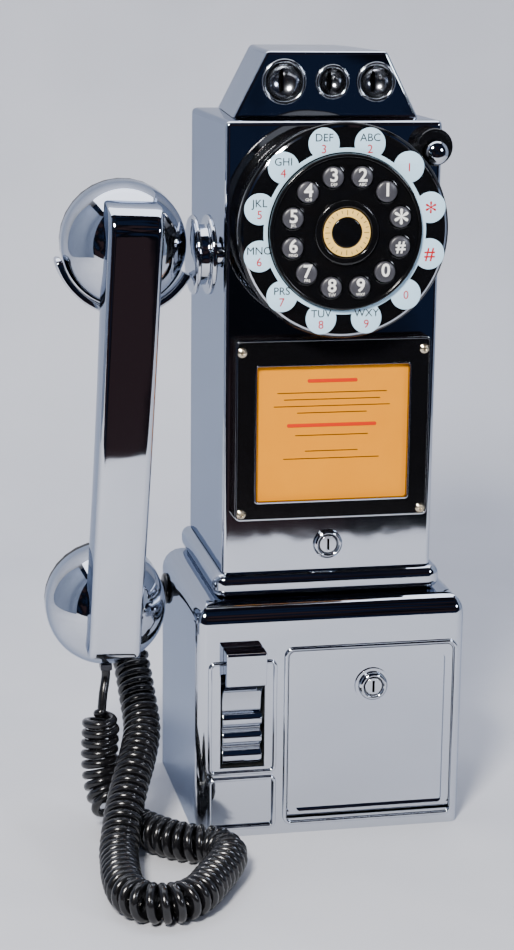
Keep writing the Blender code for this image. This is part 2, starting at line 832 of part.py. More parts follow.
def make_card_screw(number, x, z):
    """A domed cross-head screw."""
    radius, shank = card_screw_radius, card_screw_hole - seat_gap
    profile = [(0, 0.0016), (radius * 0.6, 0.0013), (radius, 0.0006), (radius, 0), (shank, 0),
               (shank, -0.011), (0, -0.011)]
    screw = turned(f"card_screw_{number}", profile, brass, (x, frame_front + 0.0012 - seat_gap, z),
                   steps=16)
    for bar, (across, up) in enumerate(((0.0017, 0.0004), (0.0004, 0.0017))):
        cross = box(f"screw_cross_{number}_{bar}", (-across, -up, 0.0006), (across, up, 0.003),
                    where=screw.location, turn=front_turn, helper=True)
        cut(screw, cross)
    return screw


# ---- locks ----

def make_lock(name, x, y, z, length, cam_length, cam_turn):
    """A bezel and barrel that stay put, and a plug with its key slot and rear cam that turns."""
    seat = -seat_gap
    bezel = [
        (lock_plug_radius + seat_gap, lock_proud - 0.0006), (lock_plug_radius + 0.0012, lock_proud),
        (lock_bezel_radius - 0.0012, lock_proud), (lock_bezel_radius, lock_proud - 0.0012),
        (lock_bezel_radius, seat_gap), (lock_barrel_radius, seat_gap), (lock_barrel_radius, -length),
        (lock_plug_radius + seat_gap, -length),
    ]
    barrel = turned(f"{name}_barrel", bezel, chrome, (x, y, z), steps=24)
    plug_front = lock_proud - 0.0010
    rear = -length - seat_gap
    profile = [(0, plug_front), (lock_plug_radius, plug_front), (lock_plug_radius, rear),
               (0.0030, rear), (0.0030, rear - 0.0035), (0, rear - 0.0035)]
    plug = turned(f"{name}_plug", profile, chrome, (x, y, z), steps=20)
    slot = box(f"{name}_key_slot", (-0.0007, -0.0035, plug_front - 0.006),
               (0.0007, 0.0035, plug_front + 0.002),
               where=(x, y, z), turn=front_turn, helper=True)
    cut(plug, slot)
    cam = slab(
        f"{name}_cam_outline",
        [rounded_rectangle(-0.0045, 0.0045, -0.0045, cam_length, 0.003)], 0.0018,
        where=(x, y - rear + 0.0018, z), turn=(math.pi / 2, cam_turn, 0), helper=True,
    )
    return barrel, unite(plug, cam)


# ---- vault door ----

def make_vault_door():
    outline = rounded_rectangle(door_left, door_right, door_pivot_z, door_top, 0.0035)
    door = slab("vault_door", [outline], door_thickness, chrome, (0, vault_front + door_thickness / 2, 0))
    panel = slab(
        "door_panel_recess",
        [rounded_rectangle(door_left + 0.0055, door_right - 0.0045, door_bottom + 0.0035,
                           door_top - 0.0060, 0.003)],
        0.0024, where=(0, vault_front, 0), helper=True,
    )
    barrel = cylinder(
        "door_hinge_barrel", door_barrel_radius, door_left, door_right,
        where=(0, door_pivot_y, door_pivot_z), turn=(0, math.pi / 2, 0), helper=True,
    )
    bore = cylinder(
        "door_pin_bore", door_pin_radius + seat_gap, door_left - 0.01, door_right + 0.01,
        where=(0, door_pivot_y, door_pivot_z), turn=(0, math.pi / 2, 0), steps=12, helper=True,
    )
    lock_hole = cylinder(
        "door_lock_hole", lock_barrel_radius + seat_gap, -0.01, 0.01,
        where=(door_lock_x, vault_front, door_lock_z), helper=True,
    )
    boss = turned(
        "door_lock_boss",
        [(lock_barrel_radius, 0), (lock_bezel_radius + 0.002, 0),
         (lock_bezel_radius + 0.002, -door_thickness + 0.0005),
         (lock_barrel_radius, -door_thickness + 0.0005)],
        where=(door_lock_x, vault_front, door_lock_z), helper=True,
    )
    cut(door, panel)
    unite(door, barrel, boss)
    return cut(door, bore, lock_hole)


def make_door_hinge_pin():
    reach = 0.0042
    return cylinder(
        "door_hinge_pin", door_pin_radius, door_left - reach, door_right + reach, steel,
        (0, door_pivot_y, door_pivot_z), (0, math.pi / 2, 0), steps=12,
    )


# ---- coin return ----

def make_return_lever():
    """A hooded tab in front, a scooped neck and three ridges below it, in one moulding on a pin."""
    front = vault_front - return_tab_proud
    outline = [
        (front + 0.0008, return_tab_top), (front, return_tab_top - 0.0012),
        (front + 0.0010, return_tab_bottom + 0.001), (front + 0.0030, return_tab_bottom),
    ]
    scoop = [(front + 0.0030 + 0.0140 * math.sin(a), return_tab_bottom - 0.0175 * (1 - math.cos(a)))
             for a in np.radians((20, 40, 60, 75, 90))]
    outline += scoop
    ridge = 0.0052
    for z in (0.0735, 0.0620, 0.0505):
        outline += [(vault_front + 0.0055 - ridge * math.sin(a), z + ridge * math.cos(a))
                    for a in np.radians((10, 40, 75, 105, 140, 170))]
    rear = return_pivot_y + 0.005
    outline += [(rear, 0.0452), (rear, return_slot_top - 0.0025)]
    outline += [(vault_front - 0.0010, return_slot_top - 0.0025), (vault_front - 0.0015, return_tab_top)]
    lever = slab("coin_return_lever", [outline], return_lever_width, chrome, (return_x, 0, 0), side_turn)
    bore = cylinder(
        "return_bore", return_pin_radius + seat_gap, -0.03, 0.03,
        where=(return_x, return_pivot_y, return_pivot_z), turn=(0, math.pi / 2, 0), steps=16, helper=True,
    )
    return cut(lever, bore)


def make_return_bracket():
    """Two cheeks with a back plate, and the pin that the lever rocks on."""
    inside = return_lever_width / 2 + 0.0022
    outside = inside + 0.0018
    front, back = vault_front + wall + seat_gap, vault_front + 0.034
    low, high = return_slot_bottom - 0.002, return_slot_top + 0.006
    bracket = box("coin_return_bracket", (return_x - outside, front, low),
                  (return_x + outside, back, high), steel)
    hollow = box("bracket_hollow", (return_x - inside, front - 0.01, low + 0.0018),
                 (return_x + inside, back - 0.0018, high + 0.01), helper=True)
    pin = cylinder(
        "bracket_pin", return_pin_radius, -outside + 0.0005, outside - 0.0005,
        where=(return_x, return_pivot_y, return_pivot_z), turn=(0, math.pi / 2, 0), steps=16, helper=True,
    )
    cut(bracket, hollow)
    return unite(bracket, pin)


# ---- redial button ----

def make_redial():
    """A black collar, and a plated knob that slides in it on a thin stem."""
    top = redial_proud
    collar = [(0, top - 0.0006), (redial_radius - 0.0018, top - 0.0006), (redial_radius - 0.0012, top),
              (redial_radius - 0.0004, top), (redial_radius, top - 0.0006), (redial_radius, 0), (0, 0)]
    seat_y = housing_front - seat_gap
    ring = turned("redial_ring", collar, black, (redial_x, seat_y, redial_z), steps=26)
    middle = (redial_x, seat_y, redial_z - redial_knob_drop)
    bore = cylinder(
        "redial_bore", redial_knob_radius + running_gap, redial_floor, 0.05, where=middle, helper=True,
    )
    stem_hole = cylinder(
        "redial_stem_hole", redial_stem_radius + running_gap, -0.01, 0.01,
        where=middle, steps=16, helper=True,
    )
    cut(ring, bore, stem_hole)
    base = redial_floor + redial_travel + seat_gap
    front = top + redial_knob_proud
    crown = 0.0035
    dome = [(redial_knob_radius * math.sin(a), front - crown * (1 - math.cos(a)))
            for a in np.radians((25, 50, 75, 90))]
    stem_end = 0.0004
    profile = [(0, front)] + dome + [(redial_knob_radius, base), (redial_stem_radius, base)]
    profile += [(redial_stem_radius, stem_end), (0, stem_end)]
    return ring, turned("redial_button", profile, chrome, middle, steps=20)


# ---- hook ----

def make_hook():
    """A spool on a shaft through the side wall, a C-shaped cradle outside and a lever inside."""
    plate, spool = hub_plate_radius, hub_spool_radius
    width = hub_inner_x - hub_outer_x
    rim = 0.0034
    profile = [
        (0, width), (plate - 0.0008, width), (plate, width - 0.0008), (plate, width - rim + 0.0006),
        (plate - 0.0006, width - rim), (spool, width - rim), (spool, rim), (plate - 0.0006, rim),
        (plate, rim - 0.0006), (plate, 0.0008), (plate - 0.0008, 0), (0, 0),
    ]
    hub = turned("hook_hub", profile, chrome, (hub_inner_x, hook_y, hook_z), left_turn, 28)
    start = hub_inner_x + seat_gap
    length = hook_pivot_x - 0.008 - start
    shaft = turned(
        "hook_arm",
        [(0, length), (hook_shaft_radius, length), (hook_shaft_radius, 0), (0, 0)],
        chrome, (start, hook_y, hook_z), (0, math.pi / 2, 0), 28,
    )
    lever = box("hook_lever", (hook_pivot_x - 0.012, hook_y - 0.005, hook_z - 0.006),
                (hook_pivot_x + 0.026, hook_y + 0.005, hook_z + 0.006), helper=True)
    bore = cylinder("hook_pivot_bore", hook_pin_radius + seat_gap, -0.02, 0.02,
                    where=(hook_pivot_x, hook_y, hook_z), turn=front_turn, steps=16, helper=True)
    unite(shaft, lever)
    cut(shaft, bore)
    return hub, shaft, make_cradle()


def cradle_centre():
    """The cup rests in the cradle, one seat gap above its floor and a little to its left."""
    return handset_x + 0.0008, handset_z + 0.0014


def make_cradle():
    """A rounded strap bent to three fifths of a circle under the ear cup, cut off square at the spool."""
    x, z = cradle_centre()
    inner, outer = cradle_inner_radius, cradle_inner_radius + cradle_thickness
    start, end = 191, 356
    points = arc((0, 0), outer, start, end, 28)
    points += arc((0, 0), inner, end, start, 28)
    cradle = slab("hook_cradle", [points], cradle_depth, chrome, (x, hook_y, z))
    blade = box("cradle_end_cut", (hub_outer_x - seat_gap, -0.2, 0), (hub_outer_x + 0.1, 0.2, 0.6),
                helper=True)
    return cut(cradle, blade)


def make_hook_bracket():
    """A fork on the inside of the left wall with the pin that the lever turns on."""
    face = -housing_half + wall + seat_gap
    low, high = hook_z - 0.020, hook_z - 0.011
    arm = box("hook_bracket", (face, hook_y - 0.0085, low), (hook_pivot_x + 0.006, hook_y + 0.0085, high),
              steel)
    for side in (-1, 1):
        near, far = hook_y + side * 0.0058, hook_y + side * 0.0085
        cheek = box(f"hook_cheek_{side + 1}", (hook_pivot_x - 0.005, min(near, far), low + 0.001),
                    (hook_pivot_x + 0.006, max(near, far), hook_z + 0.006), helper=True)
        unite(arm, cheek)
    pin = cylinder("hook_pin", hook_pin_radius, -0.0080, 0.0080, where=(hook_pivot_x, hook_y, hook_z),
                   turn=front_turn, steps=16, helper=True)
    return unite(arm, pin)


def make_hookswitch():
    """A microswitch under the inner end of the hook lever, on a post from the housing's front."""
    x = hook_pivot_x + 0.020
    top = hook_z - 0.006 - 0.026 * math.sin(hook_swing) - running_gap
    post_front = housing_front + wall + seat_gap
    switch = box("hookswitch", (x - 0.007, hook_y - 0.003, hook_z - 0.024),
                 (x + 0.007, hook_y + 0.006, top), black)
    post = box("switch_post", (x - 0.005, post_front, hook_z - 0.022),
               (x + 0.005, hook_y, hook_z - 0.016), helper=True)
    return unite(switch, post)


# ---- handset ----

handset_turn = Euler((handset_tilt, handset_lean, 0), "XYZ")
handset_matrix = Matrix.Translation((handset_x, handset_y, handset_z)) @ handset_turn.to_matrix().to_4x4()


def in_handset(made):
    """Moves a piece modelled about the ear cup's centre to the hanging handset."""
    bpy.context.view_layer.update()
    made.matrix_world = handset_matrix @ made.matrix_world
    return made


def dome_profile(radius, back):
    """A ball's front half and a straight skirt behind it; local +Z is the front."""
    ball = [(radius * math.sin(a), radius * math.cos(a)) for a in np.radians(np.linspace(0, 90, 7))]
    ball[0] = (0, radius)
    return ball + [(radius, -back), (0, -back)]


def handle_outline():
    """Side view of the handle: y runs back from the ear cup's centre, z up."""
    front, low = -handle_front, -handset_length
    points = [(-0.020, 0.029), (-0.033, 0.0285)]
    points += arc((front + 0.014, 0.0135), 0.014, 90, 180, 5)
    points += [(front - 0.0006, -0.060), (front - 0.0010, low / 2), (front - 0.0006, low + 0.060)]
    points += arc((front + 0.004, low - 0.011), 0.004, 180, 270, 3)
    points += [(-0.028, low - 0.017), (-0.018, low + 0.006), (-0.021, low + 0.034)]
    points += [(-0.0245, low / 2 - 0.030), (-0.0250, low / 2), (-0.0245, low / 2 + 0.030)]
    points += [(-0.021, -0.034), (-0.018, -0.006)]
    return points


def make_handset_body():
    handle = slab("handset_body", [handle_outline()], 2 * handle_half_width, chrome, (0, 0, 0), side_turn)
    edges = handle.modifiers.new("edges", "BEVEL")
    edges.width = handle_edge
    edges.segments = 2
    edges.limit_method = "ANGLE"
    edges.angle_limit = math.radians(60)
    handle = in_handset(handle)
    for cup, z in (("ear", 0), ("mouth", -handset_length)):
        shell = in_handset(turned(f"{cup}_dome", dome_profile(cup_radius, cup_skirt), where=(0, 0, z),
                                  helper=True, steps=28))
        unite(handle, shell)
    for cup, z in (("ear", 0), ("mouth", -handset_length)):
        hollow = in_handset(turned(f"{cup}_hollow", dome_profile(cup_radius - cup_wall, cup_skirt + 0.01),
                                   where=(0, 0, z), helper=True, steps=28))
        cut(handle, hollow)
    return handle


def make_cap(name, z):
    """A black dished cap screwed into the back of a cup, pierced with sound holes."""
    rim, back = cap_radius, cup_skirt + cap_thickness
    profile = [
        (0, -cup_skirt + 0.0030), (rim - 0.0015, -cup_skirt + 0.0030), (rim - 0.0002, -cup_skirt + 0.0020),
        (rim - 0.0002, -cup_skirt - seat_gap), (cup_radius - 0.0006, -cup_skirt - seat_gap),
        (cup_radius - 0.0002, -back + 0.0030), (cup_radius - 0.0035, -back), (0.020, -back - 0.0004),
        (0.010, -back + 0.0008), (0, -back + 0.0012),
    ]
    cap = in_handset(turned(name, profile, black, (0, 0, z), steps=30))
    for i in range(6):
        x, up = on_circle(0.0075, 60 * i + 4)
        hole = in_handset(cylinder(f"{name}_hole_{i}", 0.0012, -0.03, 0, where=(x, 0, z + up), steps=8,
                                   helper=True))
        cut(cap, hole)
    return cap


# ---- cord ----

# The route of the cord's middle line, from the gland on the vault to the mouth cup, chosen by hand.
gland_lead_route = [
    (-0.0908, 0.0475, 0.1246), (-0.0980, 0.0474, 0.1246), (-0.1050, 0.0450, 0.1238),
    (-0.1100, 0.0395, 0.1215), (-0.1122, 0.0330, 0.1180),
]
coil_route = [
    (-0.1126, 0.0290, 0.1155), (-0.1122, 0.0200, 0.1050), (-0.1105, 0.0100, 0.0900),
    (-0.1090, -0.0070, 0.0720), (-0.1090, -0.0250, 0.0580), (-0.1145, -0.0450, 0.0480),
    (-0.1215, -0.0640, 0.0395), (-0.1290, -0.0850, 0.0270), (-0.1342, -0.1050, 0.0155),
    (-0.1362, -0.1230, 0.0121), (-0.1375, -0.1410, 0.0120), (-0.1362, -0.1600, 0.0120),
    (-0.1275, -0.1740, 0.0120), (-0.1115, -0.1765, 0.0120), (-0.0980, -0.1670, 0.0120),
    (-0.0870, -0.1490, 0.0120), (-0.0775, -0.1320, 0.0120), (-0.0725, -0.1170, 0.0120),
    (-0.0775, -0.1040, 0.0120), (-0.0910, -0.0970, 0.0120), (-0.1030, -0.0870, 0.0120),
    (-0.1130, -0.0740, 0.0120), (-0.1215, -0.0600, 0.0120),
]
hanging_route = [
    (-0.1285, -0.0500, 0.0140), (-0.1330, -0.0415, 0.0205), (-0.1354, -0.0355, 0.0315),
    (-0.1360, -0.0325, 0.0450), (-0.1352, -0.0310, 0.0600),
]
handset_lead_route = [
    (-0.1342, -0.0300, 0.0730), (-0.1330, -0.0275, 0.0820), (-0.1314, -0.0244, 0.0890),
    (-0.1308, -0.0235, 0.0930), (-0.1308, -0.0235, 0.0965),
]


def smooth_route(points, spacing):
    """A Catmull-Rom curve through the points, sampled at about even spacing."""
    points = np.array(points)
    padded = np.vstack([2 * points[0] - points[1], points, 2 * points[-1] - points[-2]])
    steps = np.linspace(0, 1, 24, endpoint=False)[:, None]
    pieces = []
    for a, b, c, d in zip(padded, padded[1:], padded[2:], padded[3:]):
        curve = 2 * b + (c - a) * steps + (2 * a - 5 * b + 4 * c - d) * steps ** 2
        pieces.append((curve + (3 * b - a - 3 * c + d) * steps ** 3) / 2)
    fine = np.vstack([*pieces, points[-1:]])
    along = np.concatenate([[0], np.cumsum(np.linalg.norm(np.diff(fine, axis=0), axis=1))])
    wanted = np.linspace(0, along[-1], max(3, round(along[-1] / spacing) + 1))
    return np.stack([np.interp(wanted, along, fine[:, axis]) for axis in range(3)], axis=1)


def along_at(points, index):
    """The unit direction of the line at one of its points."""
    way = points[min(index + 1, len(points) - 1)] - points[max(index - 1, 0)]
    return way / np.linalg.norm(way)


def cord_tube(name, points, radius):
    curve = bpy.data.curves.new(name, "CURVE")
    curve.dimensions = "3D"
    curve.bevel_depth = radius
    curve.bevel_resolution = 2
    curve.use_fill_caps = True
    spline = curve.splines.new("POLY")
    spline.points.add(len(points) - 1)
    for point, place_at in zip(spline.points, points):
        point.co = (*place_at, 1)
    return as_mesh(place(bpy.data.objects.new(name, curve), cord_black))


def make_cord():
    whole = gland_lead_route + coil_route + hanging_route + handset_lead_route
    sampled = smooth_route(whole, 0.002)

    def stretch(first, last, spacing):
        """The sampled run between two of the route's own points, each end square to the line."""
        start, end = (int(np.argmin(np.linalg.norm(sampled - np.array(point),
                                                   axis=1))) for point in (first, last))
        every = round(spacing / 0.002)
        inner = list(sampled[start + every:end - every // 2:every])
        ways = along_at(sampled, start), along_at(sampled, end)
        head = [sampled[start] + ways[0] * step for step in (seat_gap / 2, 0.001)]
        tail = [sampled[end] - ways[1] * step for step in (0.001, seat_gap / 2)]
        return head + inner + tail

    cord_tube("cord_gland_lead", stretch(gland_lead_route[0], coil_route[0], 0.004), cord_radius)
    cord_tube("cord_coil_floor", stretch(coil_route[0], hanging_route[0], 0.010), coil_radius)
    cord_tube("cord_coil_hanging", stretch(hanging_route[0], handset_lead_route[0], 0.008), coil_radius)
    cord_tube("cord_handset_lead", stretch(handset_lead_route[0], handset_lead_route[-1], 0.004),
              cord_radius)


def make_cord_gland():
    """A flanged bush in the vault's left wall that the cord comes out of."""
    neck = gland_neck
    profile = [
        (0, gland_length), (neck - 0.0010, gland_length), (neck, gland_length - 0.0015), (neck, 0.0030),
        (gland_radius - 0.0010, 0.0024), (gland_radius, 0.0012), (gland_radius, seat_gap),
        (neck, seat_gap), (neck, -wall - 0.003), (0, -wall - 0.003),
    ]
    return turned("cord_gland", profile, cord_black, (-vault_width / 2, gland_y, gland_z), left_turn, 28)


def make_cord_plug():
    """The modular plug under the mouth cup."""
    end = Vector(handset_lead_route[-1])
    low = (end.x - 0.0035, end.y - 0.0040, end.z + seat_gap)
    return box("cord_plug", low, (end.x + 0.0035, end.y + 0.0040, end.z + 0.0042), key_grey,
               round_edges=0.0005)


def make_main_board():
    """The circuit board on the inside of the back plate."""
    back = wall_y - wall - seat_gap
    half, inset, stand = 0.045, 0.005, 0.0030
    low, high = vault_height + 0.054, vault_height + 0.144
    board = box("main_board", (-half, back - stand - 0.0016, low), (half, back - stand, high), board_green)
    corners = [(x, z) for z in (low + inset, high - inset) for x in (inset - half, half - inset)]
    for i, (x, z) in enumerate(corners):
        post = cylinder(f"board_post_{i}", 0.0025, 0, stand + 0.001, where=(x, back, z), steps=12,
                        helper=True)
        unite(board, post)
    chip = box(
        "board_chip",
        (-0.012, back - stand - 0.0040, low + 0.035), (0.012, back - stand - 0.001, low + 0.055), helper=True,
    )
    return unite(board, chip)


def make_all():
    make_back_plate()
    make_base_plate()
    make_vault_housing()
    make_upper_housing()
    make_foot_moulding()
    make_coin_head()
    for side, (x, radius) in coin_cups.items():
        make_coin_cup(side, x, radius)
    make_coin_chute()
    make_coin_box()
    make_dial_plinth()
    make_number_plate()
    make_keypad_disc()
    for index in range(12):
        make_key(index)
    make_centre_hub()
    make_centre_label()
    make_keypad_board()
    make_card_frame()
    make_instruction_card()
    for number, (x, z) in enumerate(card_screw_places(), 1):
        make_card_screw(number, x, z)
    make_lock("upper_lock", 0, housing_front, upper_lock_z, upper_lock_length, upper_cam_length, 0)
    make_lock("door_lock", door_lock_x, vault_front, door_lock_z, door_lock_length, door_cam_length,
              -math.pi / 2)
    make_redial()
    make_vault_door()
    make_door_hinge_pin()
    make_return_lever()
    make_return_bracket()
    make_hook()
    make_hook_bracket()
    make_hookswitch()
    make_handset_body()
    make_cap("ear_cap", 0)
    make_cap("mouth_cap", -handset_length)
    make_cord()
    make_cord_gland()
    make_cord_plug()
    make_main_board()
    for made in parts.objects:
        smooth(made)


make_all()
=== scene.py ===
import json
import math

import bmesh
import bpy
import numpy as np
from mathutils import Euler, Matrix, Vector


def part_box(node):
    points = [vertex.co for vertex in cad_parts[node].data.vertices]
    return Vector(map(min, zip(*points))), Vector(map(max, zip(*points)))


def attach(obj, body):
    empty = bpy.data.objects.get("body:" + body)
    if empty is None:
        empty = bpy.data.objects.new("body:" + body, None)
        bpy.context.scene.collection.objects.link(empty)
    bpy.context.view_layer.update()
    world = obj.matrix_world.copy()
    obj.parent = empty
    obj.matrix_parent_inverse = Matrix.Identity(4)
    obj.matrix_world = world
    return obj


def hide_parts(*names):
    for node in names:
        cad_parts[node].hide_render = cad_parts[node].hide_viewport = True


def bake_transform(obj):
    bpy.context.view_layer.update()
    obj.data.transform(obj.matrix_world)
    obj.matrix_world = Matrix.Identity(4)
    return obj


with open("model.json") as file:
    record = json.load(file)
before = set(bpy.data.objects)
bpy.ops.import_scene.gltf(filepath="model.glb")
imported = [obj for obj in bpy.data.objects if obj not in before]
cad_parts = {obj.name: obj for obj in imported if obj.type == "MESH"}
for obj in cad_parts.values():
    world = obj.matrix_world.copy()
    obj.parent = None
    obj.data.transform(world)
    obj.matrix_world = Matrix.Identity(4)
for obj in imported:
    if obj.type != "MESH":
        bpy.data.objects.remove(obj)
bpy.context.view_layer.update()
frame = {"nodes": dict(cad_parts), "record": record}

nodes = frame["nodes"]
record = frame["record"]
bodyOf = {node: body for body, held in record["behaviour"]["bodies"].items() for node in held}
slotOf = {entry["node"]: entry["material_slot"] for entry in record["subparts"]}
scene = bpy.context.scene
print("frame loaded:", len(nodes), "nodes")

# The camera stands above the dial and a little to the left, and looks down on the phone.
camera = {
    "place": (-0.29171, -1.25904, 0.51699),
    "yaw": 0.2056,       # radians to the right
    "pitch": 0.2348,     # radians down
    "roll": 0.0122,
    "lens": 81.76,       # mm on a 36 mm high sensor
    "shift": (-0.0080, -0.0019),
}


def makeCamera():
    yaw, pitch, roll = camera["yaw"], camera["pitch"], camera["roll"]
    ahead = Vector((math.sin(yaw) * math.cos(pitch), math.cos(yaw) * math.cos(pitch), -math.sin(pitch)))
    level = Vector((math.cos(yaw), -math.sin(yaw), 0))
    upright = level.cross(ahead)
    right = math.cos(roll) * level + math.sin(roll) * upright
    up = -math.sin(roll) * level + math.cos(roll) * upright
    data = bpy.data.cameras.new("camera")
    data.sensor_fit = "VERTICAL"
    data.sensor_height = 36
    data.lens = camera["lens"]
    data.shift_x, data.shift_y = camera["shift"]
    made = bpy.data.objects.new("camera", data)
    turn = Matrix((right, up, -ahead)).transposed().to_4x4()
    made.matrix_world = Matrix.Translation(camera["place"]) @ turn
    scene.collection.objects.link(made)
    scene.camera = made


makeCamera()
print("camera placed")


def linear(hexText):
    # sRGB hex to linear: each channel c is c / 12.92 below 0.04045, else ((c + 0.055) / 1.055) to the
    # power 2.4
    channels = [int(hexText[i:i + 2], 16) / 255 for i in (1, 3, 5)]
    return (*[c / 12.92 if c <= 0.04045 else ((c + 0.055) / 1.055) ** 2.4 for c in channels], 1)


def addNode(tree, kind, settings=(), links=()):
    # one node: settings are (name, value) pairs for its sockets or properties, links are (socket, source)
    # pairs
    node = tree.nodes.new(kind)
    for name, value in settings:
        if name in node.inputs:
            node.inputs[name].default_value = value
        else:
            setattr(node, name, value)
    for name, source in links:
        tree.links.new(source, node.inputs[name])
    return node


def finish(name, colour, roughness, metallic=0.0, waveMm=0, waveDeepMm=0.0, grainMm=0, grainDeepMm=0.0,
           roughSpread=0.0, patchMm=20, tint=None, tintMm=15, **sockets):
    # A Principled surface. Two layers of noise lift it: a long wave and a fine grain, each with its size
    # and depth in millimetres. roughSpread varies the gloss in patches, and tint is a second colour mixed
    # in by noise.
    made = bpy.data.materials.new(name)
    made.use_nodes = True
    tree = made.node_tree
    shader = tree.nodes["Principled BSDF"]
    shader.inputs["Base Color"].default_value = linear(colour)
    shader.inputs["Roughness"].default_value = roughness
    shader.inputs["Metallic"].default_value = metallic
    for socket, value in sockets.items():
        shader.inputs[socket.replace("_", " ")].default_value = value
    where = addNode(tree, "ShaderNodeTexCoord").outputs["Object"]

    def noise(sizeMm, detail=2.0):
        settings = (("Scale", 1000 / sizeMm), ("Detail", detail))
        return addNode(tree, "ShaderNodeTexNoise", settings, (("Vector", where),)).outputs["Fac"]

    lift = None
    for sizeMm, deepMm in ((waveMm, waveDeepMm), (grainMm, grainDeepMm)):
        if sizeMm:
            links = [("Height", noise(sizeMm))] + ([("Normal", lift)] if lift else [])
            lift = addNode(tree, "ShaderNodeBump", (("Distance", deepMm / 1000), ("Strength", 1.0)), links)
            lift = lift.outputs["Normal"]
    if lift:
        tree.links.new(lift, shader.inputs["Normal"])
    if roughSpread:
        settings = (("To Min", max(0.0, roughness - roughSpread)), ("To Max", roughness + roughSpread))
        gloss = addNode(tree, "ShaderNodeMapRange", settings, (("Value", noise(patchMm, 4.0)),))
        tree.links.new(gloss.outputs["Result"], shader.inputs["Roughness"])
    if tint:
        settings = (("data_type", "RGBA"),)
        mix = addNode(tree, "ShaderNodeMix", settings, (("Factor", noise(tintMm, 4.0)),))
        mix.inputs[6].default_value = linear(colour)
        mix.inputs[7].default_value = linear(tint)
        tree.links.new(mix.outputs[2], shader.inputs["Base Color"])
    return made


# Chrome plating over moulded ABS: a mirror that bends lines a little, because the plastic under it isn't
# flat. At a low angle chromium stays bluish and returns about two thirds of the light, which its specular
# tint sets.
chromedAbs = finish("chromedMouldedAbs", "#C9CDD5", 0.045, 1.0, 38, 0.14, 7, 0.004, 0.02, 30,
                    Specular_Tint=linear("#B0B9C8"))
# The same plating on small turned pieces, which are rounder and a little more even.
chromedTurned = finish("chromedTurnedPieces", "#CDD0D6", 0.05, 1.0, 9, 0.006, 0, 0, 0.02, 8,
                       Specular_Tint=linear("#CDD3DC"))
# Plating inside the coin cups, dulled by handling and coloured darker than the housing's plating as painted shade
# for the recessed bowl: it blurs the room into a dark bowl with one soft spot.
shadedCupChrome = finish("cupChromePaintedShade", "#A4A8B0", 0.16, 1.0, 0, 0, 0, 0, 0.03, 6)
# Injection-moulded ABS with a high gloss: deep black, soft white highlights.
blackAbs = finish("glossBlackAbs", "#070708", 0.11, 0.0, 14, 0.004, 0, 0, 0.02, 10, "#0B0B0D", 8)
# Key caps: dark grey ABS with a fine satin texture.
keyAbs = finish("satinGreyAbs", "#303036", 0.33, 0.0, 0, 0, 0.7, 0.006, 0.05, 4, "#44444B", 5)
# Screen-printed sheet: pale blue ink, slightly uneven, nearly matt.
paleBlueInk = finish("paleBluePrintedSheet", "#BFE3FB", 0.5, 0.0, 0, 0, 0.9, 0.004, 0.05, 6, "#B9DCF3", 9,
                     Specular_IOR_Level=0.3)
# Paper label under a thin varnish: cream, a little uneven, with a soft sheen.
creamInk = finish("creamPrintedLabel", "#FBCB63", 0.45, 0.0, 0, 0, 0.8, 0.004, 0.05, 4, "#EFC46C", 4)
# Coated card: warm yellow print with a little mottling, and a soft sheen.
yellowCard = finish("yellowCoatedCard", "#E99300", 0.6, 0.0, 30, 0.05, 1.1, 0.01, 0.05, 14, "#E18A00", 22,
                    Specular_IOR_Level=0.05)
# Printing inks: thin, nearly matt layers of one even colour, which show no highlight of their own.
redInk = finish("redScreenInk", "#B80D1A", 0.5, 0.0, 0, 0, 0.8, 0.003, 0.05, 3, Specular_IOR_Level=0.2)
brownInk = finish("brownPrintInk", "#4A2608", 0.55, 0.0, 0, 0, 0.8, 0.003, 0.05, 3, Specular_IOR_Level=0.1)
orangeInk = finish("orangeRedPrintInk", "#CC2E08", 0.5, 0.0, 0, 0, 0.8, 0.003, 0.05, 3, Specular_IOR_Level=0.1)
blackInk = finish("blackScreenInk", "#0C0D10", 0.5, 0.0, 0, 0, 0.8, 0.003, 0.05, 3, Specular_IOR_Level=0.2)
# Pad-printed white on the keys: a thicker, smoother ink that stands out from the grey caps.
whiteInk = finish("whitePadPrint", "#F2F2EE", 0.4, 0.0, 0, 0, 0.8, 0.003, 0.05, 3)
# Brass screws under thin nickel, machine turned: warm silver that goes yellower in worn patches.
nickelBrass = finish("nickelledBrass", "#DDD5C6", 0.22, 1.0, 2.5, 0.01, 0, 0, 0.08, 2, "#C8B48C", 2)
# Zinc-plated steel sheet: grey with a faint spangle.
zincSteel = finish("zincPlatedSteelSheet", "#B4B6B4", 0.38, 1.0, 0, 0, 3, 0.01, 0.1, 9, "#9DA09F", 12)
# Lacquered epoxy board: green with darker mottling under a satin coat.
boardGreen = finish("lacqueredCircuitBoard", "#1E5B37", 0.35, 0.0, 0, 0, 1.5, 0.01, 0.06, 5, "#2A6B42", 6)
# Extruded PVC jacket of the cord: soft, black and glossy, with faint draw marks.
cordPvc = finish("glossBlackPvcJacket", "#0C0C0E", 0.2, 0.0, 3, 0.03, 0.9, 0.004, 0.06, 5, "#131316", 6)
# The dark inside a slot, where no light comes back.
deepShadow = finish("unlitSlotBlack", "#030303", 0.8, 0.0, 0, 0, 1, 0.004, 0.05, 3, Specular_IOR_Level=0.0)
print("finishes made")

finishOf = {
    "chromed_plastic": chromedAbs, "zinc_steel": zincSteel, "gloss_black": blackAbs, "pale_blue": paleBlueInk,
    "cream": creamInk, "circuit_board": boardGreen, "yellow_card": yellowCard, "brass": nickelBrass,
    "key_grey": keyAbs, "black_cord": cordPvc,
}
for nodeName, nodeObject in nodes.items():
    for slot in nodeObject.material_slots:
        slot.material = finishOf[slotOf[nodeName]]


